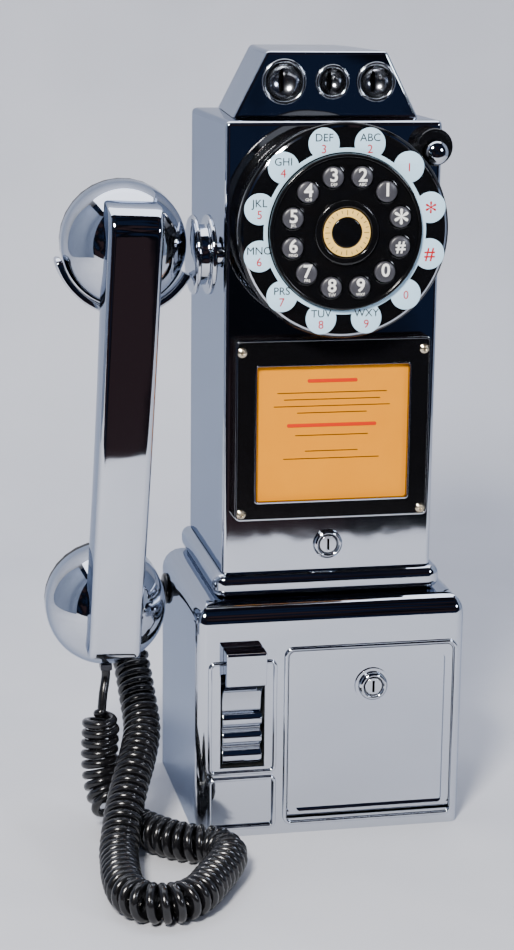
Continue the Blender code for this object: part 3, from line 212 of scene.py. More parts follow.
def linked(name, mesh, surface=None, sharpDegrees=None):
    made = bpy.data.objects.new(name, mesh)
    scene.collection.objects.link(made)
    if surface:
        mesh.materials.clear()
        mesh.materials.append(surface)
    mesh.shade_smooth()
    if sharpDegrees:
        mesh.set_sharp_from_angle(angle=math.radians(sharpDegrees))
    return made


def standsFor(piece, *replaced):
    # the piece rides with the first node's body and hides every node named
    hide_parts(*replaced)
    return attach(piece, bodyOf[replaced[0]])


def trim(piece, node):
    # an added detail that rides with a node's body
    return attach(piece, bodyOf[node])


weldDistance = 1e-6      # metres: points closer than this are one


def gridPiece(name, grid, surface, around=True, along=False, sharpDegrees=40):
    # A grid of points, rows by columns. Each cell is one face; around closes the columns on themselves,
    # and along the rows. Rows that shrink to a point are welded, and the faces are turned to enclose a
    # positive volume.
    rows, columns = grid.shape[:2]
    index = np.arange(rows * columns).reshape(rows, columns)
    if around:
        index = np.hstack([index, index[:, :1]])
    if along:
        index = np.vstack([index, index[:1]])
    faces = np.stack([index[:-1, :-1], index[:-1, 1:], index[1:, 1:], index[1:, :-1]], axis=-1).reshape(-1, 4)
    points = grid.reshape(-1, 3)
    corners = points[faces]
    volume = np.einsum("ij,ij->i", corners[:, 0], np.cross(corners[:, 1], corners[:, 2])).sum()
    volume += np.einsum("ij,ij->i", corners[:, 0], np.cross(corners[:, 2], corners[:, 3])).sum()
    if volume < 0:
        faces = faces[:, ::-1]
    mesh = bpy.data.meshes.new(name)
    mesh.from_pydata(points, [], faces.tolist())
    shape = bmesh.new()
    shape.from_mesh(mesh)
    bmesh.ops.remove_doubles(shape, verts=shape.verts, dist=weldDistance)
    shape.to_mesh(mesh)
    shape.free()
    return linked(name, mesh, surface, sharpDegrees)


def softened(profile, radius, steps=4, closed=False):
    # Each inner corner gives way to a quadratic curve that starts and ends at most radius from it.
    points = [np.array(point, float) for point in profile]
    count = len(points)
    made = []
    for i, corner in enumerate(points):
        if not closed and i in (0, count - 1):
            made.append(corner)
            continue
        before, after = points[i - 1] - corner, points[(i + 1) % count] - corner
        lengths = np.linalg.norm(before), np.linalg.norm(after)
        first = corner + before * min(0.45, radius / lengths[0])
        last = corner + after * min(0.45, radius / lengths[1])
        for t in np.linspace(0, 1, steps + 1):
            made.append(first * (1 - t) ** 2 + corner * 2 * t * (1 - t) + last * t ** 2)
    return np.array(made)


frontAxes = np.array([(1, 0, 0), (0, 0, 1), (0, -1, 0)], float)    # across, up, out of the front
leftAxes = np.array([(0, 1, 0), (0, 0, 1), (-1, 0, 0)], float)     # across, up, out to the left


def withCaps(grid):
    # each end of a lofted grid drawn to the middle of its last ring
    first, last = [np.repeat(grid[i].mean(axis=0)[None, None], grid.shape[1], axis=1) for i in (0, -1)]
    return np.concatenate([first, grid, last])


def turnedPiece(name, profile, centre, surface, axes=frontAxes, steps=96, sharpDegrees=40, closed=False):
    # A profile of (radius, height) turned about the third axis: centre + r cos a first + r sin a second +
    # h third.
    angle = np.linspace(0, 2 * math.pi, steps, endpoint=False)
    profile = np.asarray(profile, float)
    ring = np.cos(angle)[:, None] * axes[0] + np.sin(angle)[:, None] * axes[1]
    grid = np.array(centre, float) + profile[:, None, :1] * ring[None] + profile[:, None, 1:] * axes[2]
    return gridPiece(name, grid, surface, True, closed, sharpDegrees)


def ringOf(radius, steps=96, centre=(0, 0)):
    angle = np.linspace(0, 2 * math.pi, steps, endpoint=False)
    return np.stack([centre[0] + radius * np.cos(angle), centre[1] + radius * np.sin(angle)], axis=1)


def roundedBoxRing(left, right, bottom, top, radius, steps=8):
    # four quarter circles, one at each corner, run anticlockwise
    quarters = []
    for x, y, start in ((right, top, 0), (left, top, 1), (left, bottom, 2), (right, bottom, 3)):
        angle = np.linspace(start, start + 1, steps + 1) * math.pi / 2
        middle = (x - radius if x == right else x + radius, y - radius if y == top else y + radius)
        across, up = middle[0] + radius * np.cos(angle), middle[1] + radius * np.sin(angle)
        quarters.append(np.stack([across, up], axis=1))
    return np.vstack(quarters)


def platePiece(name, rings, low, thickness, bevel, surface, centre=(0, 0)):
    # Flat outlines, the first outer and the rest holes, filled and raised from y = low towards the front.
    # The edges are rounded by bevel inside the outline's own size.
    curve = bpy.data.curves.new(name, "CURVE")
    curve.dimensions = "2D"
    curve.fill_mode = "BOTH"
    curve.extrude = thickness / 2 - bevel
    curve.bevel_depth = bevel
    curve.bevel_resolution = 2
    curve.offset = -bevel
    for ring in rings:
        spline = curve.splines.new("POLY")
        spline.points.add(len(ring) - 1)
        flat = np.zeros((len(ring), 4))
        flat[:, :2] = ring
        flat[:, 3] = 1
        spline.points.foreach_set("co", flat.ravel())
        spline.use_cyclic_u = True
    return meshOf(curve, name, (centre[0], low - thickness / 2, centre[1]), surface)


def meshOf(data, name, centre, surface, turn=None, sharpDegrees=40):
    # a curve or text made a mesh, stood up to face the front, with its place in its points
    helper = bpy.data.objects.new(name, data)
    scene.collection.objects.link(helper)
    bpy.context.view_layer.update()
    mesh = bpy.data.meshes.new_from_object(helper.evaluated_get(bpy.context.evaluated_depsgraph_get()))
    bpy.data.objects.remove(helper)
    shape = bmesh.new()
    shape.from_mesh(mesh)
    bmesh.ops.remove_doubles(shape, verts=shape.verts, dist=weldDistance)
    bmesh.ops.recalc_face_normals(shape, faces=shape.faces)
    shape.to_mesh(mesh)
    shape.free()
    stand = turn or Euler((math.pi / 2, 0, 0)).to_matrix().to_4x4()
    mesh.transform(Matrix.Translation(centre) @ stand)
    return linked(name, mesh, surface, sharpDegrees)


def lettering(name, lines, surface, thick=0.00012):
    # lines are (text, size, x, y, z, weight, spin): y is the face it lies on, spin turns it clockwise
    meshes = []
    for text, size, x, y, z, weight, spin in lines:
        data = bpy.data.curves.new(name, "FONT")
        data.body = text
        data.size = size
        data.align_x = "CENTER"
        data.align_y = "CENTER"
        data.extrude = thick / 2
        data.offset = weight
        data.resolution_u = 3
        stand = Matrix.Rotation(spin, 4, "Y") @ Matrix.Rotation(math.pi / 2, 4, "X")
        meshes.append(meshOf(data, name, (x, y - thick / 2, z), surface, stand, 30))
    first = meshes[0]
    if len(meshes) > 1:
        shape = bmesh.new()
        for made in meshes:
            shape.from_mesh(made.data)
        shape.to_mesh(first.data)
        shape.free()
        for made in meshes[1:]:
            bpy.data.objects.remove(made)
    first.name = name
    return first


def refined(node, surface, edge, segments=3, foldDegrees=32):
    # A welded copy of a CAD node with its flat faces made whole, its sharp edges rounded, and normals
    # that keep flat faces flat, so that a mirror finish shows straight reflections.
    shape = bmesh.new()
    shape.from_mesh(nodes[node].data)
    bmesh.ops.remove_doubles(shape, verts=shape.verts, dist=2 * weldDistance)
    bmesh.ops.dissolve_limit(shape, angle_limit=math.radians(0.6), verts=shape.verts, edges=shape.edges)
    mesh = bpy.data.meshes.new(node + "Fine")
    shape.to_mesh(mesh)
    shape.free()
    made = linked(mesh.name, mesh, surface, foldDegrees)
    if edge:
        bevel = made.modifiers.new("edges", "BEVEL")
        bevel.width = edge
        bevel.segments = segments
        bevel.limit_method = "ANGLE"
        bevel.angle_limit = math.radians(foldDegrees)
        bevel.use_clamp_overlap = True
    weigh = made.modifiers.new("flatFaces", "WEIGHTED_NORMAL")
    weigh.keep_sharp = True
    weigh.weight = 90
    return standsFor(made, node)


cord = {
    "jacket": 0.0054,       # diameter of the cable
    "coil": 0.0234,         # outside of the curl
    "pitch": 0.0062,        # between turns, nearly closed
    "taper": 1.2,           # turns over which the curl opens from the straight lead
    "pointsATurn": 18,
    "early": 0.004,         # the curl opens this far before the straight lead ends
}
# the cord's middle line, from the gland on the vault to the mouth cup: the CAD's own route, in metres
glandLead = [
    (-0.0908, 0.0475, 0.1246), (-0.0980, 0.0474, 0.1246), (-0.1050, 0.0450, 0.1238),
    (-0.1100, 0.0395, 0.1215), (-0.1122, 0.0330, 0.1180),
]
floorCoil = [
    (-0.1126, 0.0290, 0.1155), (-0.1122, 0.0200, 0.1050),
    (-0.1105, 0.0100, 0.0900), (-0.1090, -0.0070, 0.0720),
    (-0.1090, -0.0250, 0.0580), (-0.1145, -0.0450, 0.0480),
    (-0.1215, -0.0640, 0.0395), (-0.1290, -0.0850, 0.0270),
    (-0.1342, -0.1050, 0.0155), (-0.1362, -0.1230, 0.0121),
    (-0.1375, -0.1410, 0.0120), (-0.1362, -0.1600, 0.0120),
    (-0.1275, -0.1740, 0.0120), (-0.1115, -0.1765, 0.0120),
    (-0.0980, -0.1670, 0.0120), (-0.0870, -0.1490, 0.0120),
    (-0.0775, -0.1320, 0.0120), (-0.0725, -0.1170, 0.0120),
    (-0.0775, -0.1040, 0.0120), (-0.0910, -0.0970, 0.0120),
    (-0.1030, -0.0870, 0.0120), (-0.1130, -0.0740, 0.0120), (-0.1215, -0.0600, 0.0120),
]
hangingCoil = [
    (-0.1285, -0.0500, 0.0140), (-0.1330, -0.0415, 0.0205),
    (-0.1354, -0.0355, 0.0315), (-0.1360, -0.0325, 0.0450),
    (-0.1352, -0.0310, 0.0600),
]
handsetLead = [
    (-0.1342, -0.0300, 0.0730), (-0.1330, -0.0275, 0.0820),
    (-0.1314, -0.0244, 0.0890), (-0.1308, -0.0235, 0.0930),
    (-0.1308, -0.0235, 0.0965),
]


def smoothRoute(points, spacing):
    # a Catmull-Rom curve through the points, sampled evenly
    points = np.array(points)
    padded = np.vstack([2 * points[0] - points[1], points, 2 * points[-1] - points[-2]])
    t = np.linspace(0, 1, 24, endpoint=False)[:, None]
    pieces = []
    for a, b, c, d in zip(padded, padded[1:], padded[2:], padded[3:]):
        curve = 2 * b + (c - a) * t + (2 * a - 5 * b + 4 * c - d) * t ** 2 + (3 * b - a - 3 * c + d) * t ** 3
        pieces.append(curve / 2)
    fine = np.vstack([*pieces, points[-1:]])
    along = np.concatenate([[0], np.cumsum(np.linalg.norm(np.diff(fine, axis=0), axis=1))])
    wanted = np.linspace(0, along[-1], round(along[-1] / spacing) + 1)
    return np.stack([np.interp(wanted, along, fine[:, axis]) for axis in range(3)], axis=1)


def carriedFrames(line):
    # Directions square to the line, each turned from the last by the least turn, so that nothing twists.
    ways = np.gradient(line, axis=0)
    ways /= np.linalg.norm(ways, axis=1)[:, None]
    side = np.cross(ways[0], (0.0, 0.0, 1.0))
    if np.linalg.norm(side) < 0.1:
        side = np.cross(ways[0], (0.0, 1.0, 0.0))
    sides = []
    for way in ways:
        side = side - way * (side @ way)
        side = side / np.linalg.norm(side)
        sides.append(side)
    sides = np.array(sides)
    return ways, sides, np.cross(ways, sides)


def curlOf(route, straight):
    # The cable's own line: along the route it circles the middle line at the curl's radius, one turn a
    # pitch, and over the first turns the radius grows from nothing. straight is (at the start, at the
    # end) in metres.
    spacing = cord["pitch"] / cord["pointsATurn"]
    line = smoothRoute(route, spacing)
    _, sides, others = carriedFrames(line)
    along = np.arange(len(line)) * spacing
    total = along[-1]
    ramp = cord["taper"] * cord["pitch"]
    opening = np.ones(len(line))
    for lead, distance in zip(straight, (along, total - along)):
        grown = np.clip((distance - lead) / ramp, 0, 1)
        opening = opening * grown * grown * (3 - 2 * grown)
    reach = (cord["coil"] - cord["jacket"]) / 2 * opening
    turn = 2 * math.pi * (along - straight[0]) / cord["pitch"]
    curl = line + (reach * np.cos(turn))[:, None] * sides + (reach * np.sin(turn))[:, None] * others
    plain = opening < 1e-6
    keep = ~plain | (np.arange(len(line)) % 4 == 0)
    keep[[0, -1]] = True
    return curl[keep]


def tubePiece(name, line, radius, surface, sides=10):
    # A circle carried along the line, closed flat at each end.
    _, first, second = carriedFrames(line)
    angle = np.linspace(0, 2 * math.pi, sides, endpoint=False)
    ring = np.cos(angle)[None, :, None] * first[:, None] + np.sin(angle)[None, :, None] * second[:, None]
    grid = line[:, None] + radius * ring
    ends = [np.repeat(line[i][None, None], sides, axis=1) for i in (0, -1)]
    return gridPiece(name, np.concatenate([ends[0], grid, ends[1]]), surface, True, False, 60)


def lengthOf(line):
    return float(np.linalg.norm(np.diff(line, axis=0), axis=1).sum())


def makeCord():
    radius = cord["jacket"] / 2
    leadLength = lengthOf(smoothRoute(glandLead + floorCoil[:1], 0.001))
    first = curlOf(glandLead + floorCoil + hangingCoil[:1], (leadLength - cord["early"], 0.0))
    mainCord = tubePiece("curlyCordFromGland", first, radius, cordPvc)
    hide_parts("cord_gland_lead", "cord_coil_floor")
    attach(mainCord, "root")
    rise = smoothRoute(handsetLead, 0.001)
    second = curlOf(hangingCoil + handsetLead, (0.0, lengthOf(rise)))
    risingCord = tubePiece("curlyCordToHandset", second, radius, cordPvc)
    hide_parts("cord_coil_hanging", "cord_handset_lead")
    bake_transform(risingCord)
    print("cord:", round(lengthOf(first), 2), "m and", round(lengthOf(second), 2), "m of cable")


makeCord()


def makeHousings():
    refined("vault_housing", chromedAbs, 0.0007)
    refined("upper_housing", chromedAbs, 0.0004)
    refined("foot_moulding", chromedAbs, 0.0)
    refined("coin_head", chromedAbs, 0.0003)
    print("housings made")


makeHousings()

cup = {"rim": 0.0011, "deep": 0.0072, "slotWidth": 0.0014}


def makeCup(side):
    # A rolled rim of radius rim, then half an ellipse as deep as the cup: (w cos a, -deep sin a).
    node = "coin_cup_" + side
    low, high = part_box(node)
    radius = (high.x - low.x) / 2
    centre = ((low.x + high.x) / 2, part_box("coin_head")[0].y, (low.z + high.z) / 2)
    rim, deep = cup["rim"], cup["deep"]
    inner = radius - 2 * rim
    bowl = np.radians(np.linspace(90, 4, 20))
    hollow = np.stack([inner * np.cos(bowl), rim * 0.6 - (deep + rim * 0.6) * np.sin(bowl)], axis=1)
    roll = np.radians(np.linspace(180, 0, 10))
    lip = np.stack([radius - rim + rim * np.cos(roll), 0.0006 + rim * np.sin(roll)], axis=1)
    back = [(radius, 0.0003), (radius - 0.0013, 0.0003), (radius - 0.0014, -0.0084), (0, -0.0085)]
    profile = np.vstack([hollow, lip, back])
    profile[0, 0] = 0
    # the bowl takes the cup plating, darkened as painted shade for the recess
    standsFor(turnedPiece(f"coinCup{side.title()}", profile, centre, shadedCupChrome, steps=72), node)
    ring = roundedBoxRing(-cup["slotWidth"] / 2, cup["slotWidth"] / 2, -radius * 0.45, radius * 0.45, 0.001)
    slot = platePiece(f"coinSlot{side.title()}", [ring], centre[1] + deep - 0.0006, 0.0016, 0.0001,
                      deepShadow, (centre[0], centre[2]))
    trim(slot, node)


for cupSide in ("left", "middle", "right"):
    makeCup(cupSide)
print("coin cups made")

dial = {
    "keyNames": ("2", "1", "star", "hash", "0", "9", "8", "7", "6", "5", "4", "3"),
    "firstClock": 15,           # degrees clockwise from the top
    "keyCircle": 0.0322,
    "petalCircle": 0.0512,
    "petalRadius": 0.0089,
    "plateRing": 0.0472,
    "discRadius": 0.0444,
    "wellRadius": 0.00665,
    "bore": 0.0402,             # inside of the plinth, clear of the pressed keys
    "letterSize": 0.0062,
    "digitSize": 0.0068,
    "letters": {"2": "ABC", "3": "DEF", "4": "GHI", "5": "JKL", "6": "MNO", "7": "PRS", "8": "TUV", "9": "WXY"},
    "marks": {"star": "*", "hash": "#"},
}
dialLow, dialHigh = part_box("dial_plinth")
dialX, dialZ = (dialLow.x + dialHigh.x) / 2, (dialLow.z + dialHigh.z) / 2
dialFront = dialLow.y


def onDial(radius, clock):
    turn = math.radians(clock)
    return dialX + radius * math.sin(turn), dialZ + radius * math.cos(turn)


def petalRing():
    # Arcs round each petal's own centre, joined by arcs of the ring between them. The two circles meet
    # where the law of cosines puts them.
    reach, radius, ring = dial["petalCircle"], dial["petalRadius"], dial["plateRing"]
    halfRing = math.acos((reach ** 2 + ring ** 2 - radius ** 2) / (2 * reach * ring))
    halfPetal = math.pi - math.acos((reach ** 2 + radius ** 2 - ring ** 2) / (2 * reach * radius))
    rows = []
    for i in range(12):
        middle = math.radians(75 + 30 * i)
        turn = np.linspace(middle - halfPetal, middle + halfPetal, 30)
        petal = np.stack([np.cos(turn), np.sin(turn)], axis=1) * radius
        rows.append(petal + reach * np.array([math.cos(middle), math.sin(middle)]))
        turn = np.linspace(middle + halfRing, middle + math.pi / 6 - halfRing, 6)[1:-1]
        rows.append(np.stack([np.cos(turn), np.sin(turn)], axis=1) * ring)
    return np.vstack(rows)


def makePlinth():
    radius = (dialHigh.x - dialLow.x) / 2
    depth = dialHigh.y - dialLow.y
    profile = [
        (dial["bore"], 0), (radius - 0.0025, 0), (radius, -0.0020), (radius, -0.0062), (radius - 0.0033, -0.0092),
        (radius - 0.0033, -depth), (radius - 0.006, -depth), (radius - 0.006, -0.006),
        (dial["bore"], -0.003),
    ]
    centre = (dialX, dialFront, dialZ)
    profile = softened(profile, 0.0006, 3, True)
    made = turnedPiece("dialPlinth", profile, centre, blackAbs, steps=160, closed=True)
    standsFor(made, "dial_plinth")
    # the bright band on the plinth's bevelled shoulder
    band = [
        (radius - 0.0026, 0.00012), (radius - 0.0016, -0.0004), (radius - 0.0021, -0.0009),
        (radius - 0.0029, -0.0004),
    ]
    trim(turnedPiece("dialBand", band, centre, chromedTurned, steps=160, closed=True), "dial_plinth")


def makePlate():
    thick = 0.0008
    low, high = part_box("number_plate")
    rings = [petalRing(), ringOf(dial["discRadius"] + 0.0005, 120)]
    made = platePiece("petalPlate", rings, high.y, thick, 0.00015, paleBlueInk, (dialX, dialZ))
    standsFor(made, "number_plate")
    black, red = [], []
    for i, key in enumerate(dial["keyNames"]):
        clock = dial["firstClock"] + 30 * i
        x, z = onDial(dial["petalCircle"] + 0.0002, clock)
        if key in dial["letters"]:
            black.append((dial["letters"][key], dial["letterSize"], x, low.y, z + 0.0030, 0, 0))
            red.append((key, dial["digitSize"], x, low.y, z - 0.0034, 0, 0))
        elif key in dial["marks"]:
            size = 0.0150 if key == "star" else 0.0105
            red.append((dial["marks"][key], size, x, low.y, z - (0.0030 if key == "star" else 0), 0.0001, 0))
        else:
            red.append((key, dial["digitSize"], x, low.y, z - 0.0005, 0, 0))
    trim(lettering("petalLetters", black, blackInk), "number_plate")
    trim(lettering("petalDigits", red, redInk), "number_plate")


def onKeyRing(i):
    turn = math.radians(dial["firstClock"] + 30 * i)
    return dial["keyCircle"] * math.sin(turn), dial["keyCircle"] * math.cos(turn)


def makeKeypad():
    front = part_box("keypad_disc")[0].y
    floor = front + 0.0012
    back = dialFront - 0.0003
    radius = dial["discRadius"]
    wells = [ringOf(dial["wellRadius"], 40, onKeyRing(i)) for i in range(12)]
    rings = [ringOf(radius - 0.0012, 140), *wells, ringOf(0.0150, 60)]
    made = platePiece("keypadFloor", rings, back, back - floor, 0.0004, blackAbs, (dialX, dialZ))
    standsFor(made, "keypad_disc")
    tall = back - front
    rim = [
        (radius - 0.0030, 0.0006), (radius - 0.0022, tall), (radius - 0.0006, tall), (radius, tall - 0.0010),
        (radius, 0.0001), (radius - 0.0030, 0.0001),
    ]
    rim = softened(rim, 0.0005, 4, True)
    made = turnedPiece("keypadRim", rim, (dialX, back, dialZ), blackAbs, steps=160, closed=True)
    trim(made, "keypad_disc")
    well = dial["wellRadius"]
    wall = [(well + 0.0004, 0.0002), (well, 0.0003), (well, -0.0040), (well + 0.0006, -0.0040)]
    lip = [(well + 0.0002, 0.0), (well + 0.0004, 0.00035), (well + 0.0009, 0.00035), (well + 0.0011, 0.0)]
    for i, key in enumerate(dial["keyNames"]):
        x, z = onDial(dial["keyCircle"], dial["firstClock"] + 30 * i)
        for name, profile in (("keyWellWall", wall), ("keyWellLip", lip)):
            made = turnedPiece(name + key.title(), profile, (x, floor, z), blackAbs, steps=40, closed=True)
            trim(made, "keypad_disc")


def makeKeys():
    for i, key in enumerate(dial["keyNames"]):
        node = "key_" + key
        low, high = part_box(node)
        x, z = onDial(dial["keyCircle"], dial["firstClock"] + 30 * i)
        radius = (high.x - low.x) / 2
        front, deep = low.y, high.y - low.y
        crown = np.radians(np.linspace(0, 90, 9))
        dome = np.stack([radius * np.sin(crown), 0.0012 * (np.cos(crown) - 1)], axis=1)
        stem = radius * 0.7
        profile = np.vstack([dome, [(radius, -0.0052), (stem, -0.0056), (stem, -deep), (0, -deep)]])
        made = turnedPiece(f"keyCap{key.title()}", profile, (x, front, z), keyAbs, steps=48)
        standsFor(made, node)
        face = front + 0.00004
        text = dial["marks"].get(key, key)
        size, lift = {"star": (0.0190, -0.0033), "hash": (0.0090, 0.0)}.get(key, (0.0104, 0.0009))
        lines = [(text, size, x, face, z + lift, 0.00020, 0)]
        if key in dial["letters"]:
            lines.append((dial["letters"][key], 0.0022, x, face + 0.0001, z - 0.0040, 0, 0))
        trim(lettering(f"keyMark{key.title()}", lines, whiteInk, 0.0003), node)


def makeHub():
    low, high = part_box("centre_hub")
    front = low.y
    radius = (high.x - low.x) / 2
    centre = (dialX, front, dialZ)
    profile = [
        (0, -0.0006), (0.0084, -0.0006), (0.0088, -0.0014), (0.0141, -0.0014), (0.0146, -0.0002), (0.0160, 0.0),
        (radius - 0.0007, -0.0003), (radius, -0.0012), (radius, -0.0021), (0.0150, -0.0021), (0.0150, -0.0056),
        (0, -0.0056),
    ]
    profile = softened(profile, 0.0004, 3)
    standsFor(turnedPiece("centreHub", profile, centre, blackAbs, steps=120), "centre_hub")
    labelLow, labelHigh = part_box("centre_label")
    rings = [ringOf(0.0136, 100), ringOf(0.0089, 80)]
    thick = labelHigh.y - labelLow.y
    made = platePiece("centreLabel", rings, labelHigh.y, thick, 0.0001, creamInk, (dialX, dialZ))
    standsFor(made, "centre_label")


inkThick, inkBevel = 0.00012, 0.00002      # printed marks stand this proud of their sheet


def makeLabelTicks():
    # a plain ring of short strokes, one for each hour and a longer one each quarter
    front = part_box("centre_label")[0].y
    for i in range(24):
        turn = math.radians(15 * i)
        reach = 0.0030 if i % 6 == 0 else 0.0017
        middle = 0.0128 - reach / 2
        half, end = 0.00016, reach / 2
        corners = np.array([(-half, -end), (half, -end), (half, end), (-half, end)])
        spin = np.array([(math.cos(turn), -math.sin(turn)), (math.sin(turn), math.cos(turn))])
        ring = corners @ spin + middle * np.array([math.sin(turn), math.cos(turn)])
        made = platePiece(f"labelTick{i}", [ring], front, inkThick, inkBevel, blackInk, (dialX, dialZ))
        trim(made, "centre_label")


makePlinth()
makePlate()
makeKeypad()
makeKeys()
makeHub()
makeLabelTicks()
print("dial made")

card = {
    "window": (-0.0467, 0.0467, 0.2042, 0.2870),      # left, right, bottom, top
    "rule": 0.00055,                                  # thickness of a brown line
    "orangeRules": ((0.2765, 0.0300), (0.2500, 0.0540)),      # height, width
    "brownRules": ((0.2695, 0.0660), (0.2655, 0.0580), (0.2615, 0.0700), (0.2575, 0.0420), (0.2440, 0.0440),
                   (0.2345, 0.0320), (0.2300, 0.0580)),
    "orangeThick": 0.0022,
}


def makeCardFrame():
    refined("card_frame", blackAbs, 0.0008, 3)
    low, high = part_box("card_frame")
    front = low.y
    # the polished edge of the frame's front, and of its window
    outside = (low.x + 0.0002, high.x - 0.0002, low.z + 0.0002, high.z - 0.0002)
    rims = (
        ("cardFrameOuterLine", outside, 0.0032, 0.0011),
        ("cardFrameWindowLine", card["window"], 0.0022, 0.0009),
    )
    for name, (left, right, bottom, top), corner, width in rims:
        rings = [roundedBoxRing(left, right, bottom, top, corner),
                 roundedBoxRing(left + width, right - width, bottom + width, top - width,
                                max(0.0008, corner - width))]
        trim(platePiece(name, rings, front + 0.0002, 0.0004, 0.00012, chromedTurned), "card_frame")
    # plain ruled lines keep the look of print without any words
    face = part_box("instruction_card")[0].y
    lines = [(z, wide, orangeInk, card["orangeThick"]) for z, wide in card["orangeRules"]]
    lines += [(z, wide, brownInk, card["rule"]) for z, wide in card["brownRules"]]
    for number, (z, wide, ink, tall) in enumerate(lines, 1):
        ring = roundedBoxRing(-wide / 2, wide / 2, -tall / 2, tall / 2, tall * 0.4, 3)
        made = platePiece(f"cardRule{number}", [ring], face, inkThick, inkBevel, ink, (0, z))
        trim(made, "instruction_card")


def makeCardScrews():
    for number in range(1, 5):
        refined(f"card_screw_{number}", nickelBrass, 0.0, foldDegrees=40)


makeCardFrame()
makeCardScrews()
print("card frame made")


def makeLock(prefix):
    low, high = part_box(prefix + "_barrel")
    centre = ((low.x + high.x) / 2, low.y, (low.z + high.z) / 2)
    radius, deep = (high.x - low.x) / 2, high.y - low.y
    profile = [
        (0.0055, -0.0016), (0.0064, -0.0003), (0.0070, 0.0), (radius - 0.0010, -0.0004), (radius, -0.0014),
        (radius, -0.0027), (0.0066, -0.0027), (0.0066, -deep), (0.0055, -deep),
    ]
    profile = softened(profile, 0.0005, 3, True)
    name = prefix.replace("_l", "L")
    made = turnedPiece(name + "Bezel", profile, centre, chromedTurned, steps=72, closed=True)
    standsFor(made, prefix + "_barrel")
    refined(prefix + "_plug", chromedTurned, 0.0002, 2)
    ring = roundedBoxRing(-0.0007, 0.0007, -0.0034, 0.0034, 0.0005, 3)
    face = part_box(prefix + "_plug")[0].y + 0.0004
    made = platePiece(name + "Keyway", [ring], face, 0.0003, 0.00005, deepShadow, (centre[0], centre[2]))
    trim(made, prefix + "_plug")


def makeRedial():
    refined("redial_ring", blackAbs, 0.0004, 3)
    low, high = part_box("redial_button")
    centre = ((low.x + high.x) / 2, low.y, (low.z + high.z) / 2)
    radius, deep = (high.x - low.x) / 2, high.y - low.y
    crown = np.radians(np.linspace(0, 90, 12))
    dome = np.stack([radius * np.sin(crown), 0.0038 * (np.cos(crown) - 1)], axis=1)
    profile = np.vstack([dome, [(radius, -0.0120), (0.0021, -0.0122), (0.0021, -deep), (0, -deep)]])
    standsFor(turnedPiece("redialKnob", profile, centre, chromedTurned, steps=64), "redial_button")


border = {
    "wide": 0.0022,
    "proud": 0.0015,
    "sunk": 0.0004,         # how far each bead reaches into the vault's front
    # left, right, bottom, top and corner radius of each
    "returnColumn": (-0.0752, -0.0336, 0.0400, 0.1112, 0.0045),
    "plate": (-0.0752, -0.0336, 0.0048, 0.0382, 0.0040),
    "door": (-0.0292, 0.0777, 0.0056, 0.1182, 0.0060),
}


def makeBorders():
    # rounded beads pressed into the vault's front, round the coin return, the bare plate and the door
    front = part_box("vault_housing")[0].y
    wide, sunk = border["wide"], border["sunk"]
    for name in ("returnColumn", "plate", "door"):
        left, right, bottom, top, corner = border[name]
        rings = [roundedBoxRing(left, right, bottom, top, corner),
                 roundedBoxRing(left + wide, right - wide, bottom + wide, top - wide, corner - wide)]
        made = platePiece(name + "Border", rings, front + sunk, border["proud"] + sunk, 0.0009, chromedAbs)
        trim(made, "vault_housing")


makeBorders()
makeLock("upper_lock")
makeLock("door_lock")
makeRedial()
refined("vault_door", chromedAbs, 0.0020, 4)
refined("coin_return_lever", chromedAbs, 0.0005)
print("locks, button, door and coin return made")

hook = {
    "innerRadius": 0.038,
    "thick": 0.0042,
    "strapCentre": (-0.1198, 0.3576),       # across and up
    "start": 191,                           # degrees round from the right, where the strap leaves the hub
    "lip": 0.0011,
    "flange": 0.0034,                       # thickness of the hub's two rims
}


def makeHook():
    low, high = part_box("hook_hub")
    centre = (high.x, (low.y + high.y) / 2, (low.z + high.z) / 2)
    radius, width = (high.z - low.z) / 2, high.x - low.x
    plate = hook["flange"]
    profile = [
        (0, width), (radius - 0.004, width), (radius - 0.0014, width - 0.0002), (radius, width - 0.0014),
        (radius, width - plate + 0.0008), (radius - 0.0008, width - plate), (0.0178, width - plate),
        (0.0174, width - plate - 0.0006), (0.0174, plate + 0.0006), (0.0178, plate), (radius - 0.0008, plate),
        (radius, plate - 0.0008), (radius, 0.0008), (radius - 0.0010, 0), (0, 0),
    ]
    made = turnedPiece("hookHub", softened(profile, 0.0005, 3), centre, chromedTurned, leftAxes, 120)
    standsFor(made, "hook_hub")
    refined("hook_arm", chromedTurned, 0.0002, 2)
    makeCradleStrap()


def makeCradleStrap():
    # A shallow channel carried round an arc: its section is a bar with a raised lip along both edges.
    low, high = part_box("hook_cradle")
    middle = (low.y + high.y) / 2
    half = (high.y - low.y) / 2
    inner, lip, centre = hook["innerRadius"], hook["lip"], hook["strapCentre"]
    outer = inner + hook["thick"]
    section = [
        (inner, -half), (inner, half), (outer, half), (outer, half - 0.0030), (outer - lip, half - 0.0042),
        (outer - lip, -half + 0.0042), (outer, -half + 0.0030), (outer, -half),
    ]
    section = softened(section, 0.0011, 4, True)
    end = 360 - math.degrees(math.acos((high.x - centre[0]) / outer))
    angle = np.radians(np.linspace(hook["start"], end, 80))
    # the first rings grow as a quarter circle does, which rounds the strap's start
    grown = np.clip(np.linspace(0, 1, 80) * 22, 0.0, 1.0)
    grown = np.sqrt(1 - (1 - grown) ** 2)
    mean = section.mean(axis=0)
    rows = []
    for a, share in zip(angle, grown):
        ring = mean + (section - mean) * max(share, 0.02)
        rows.append(np.stack([centre[0] + ring[:, 0] * math.cos(a), middle + ring[:, 1],
                              centre[1] + ring[:, 0] * math.sin(a)], axis=1))
    made = gridPiece("hookCradle", withCaps(np.array(rows)), chromedTurned, sharpDegrees=50)
    standsFor(made, "hook_cradle")


makeHook()
print("hook made")

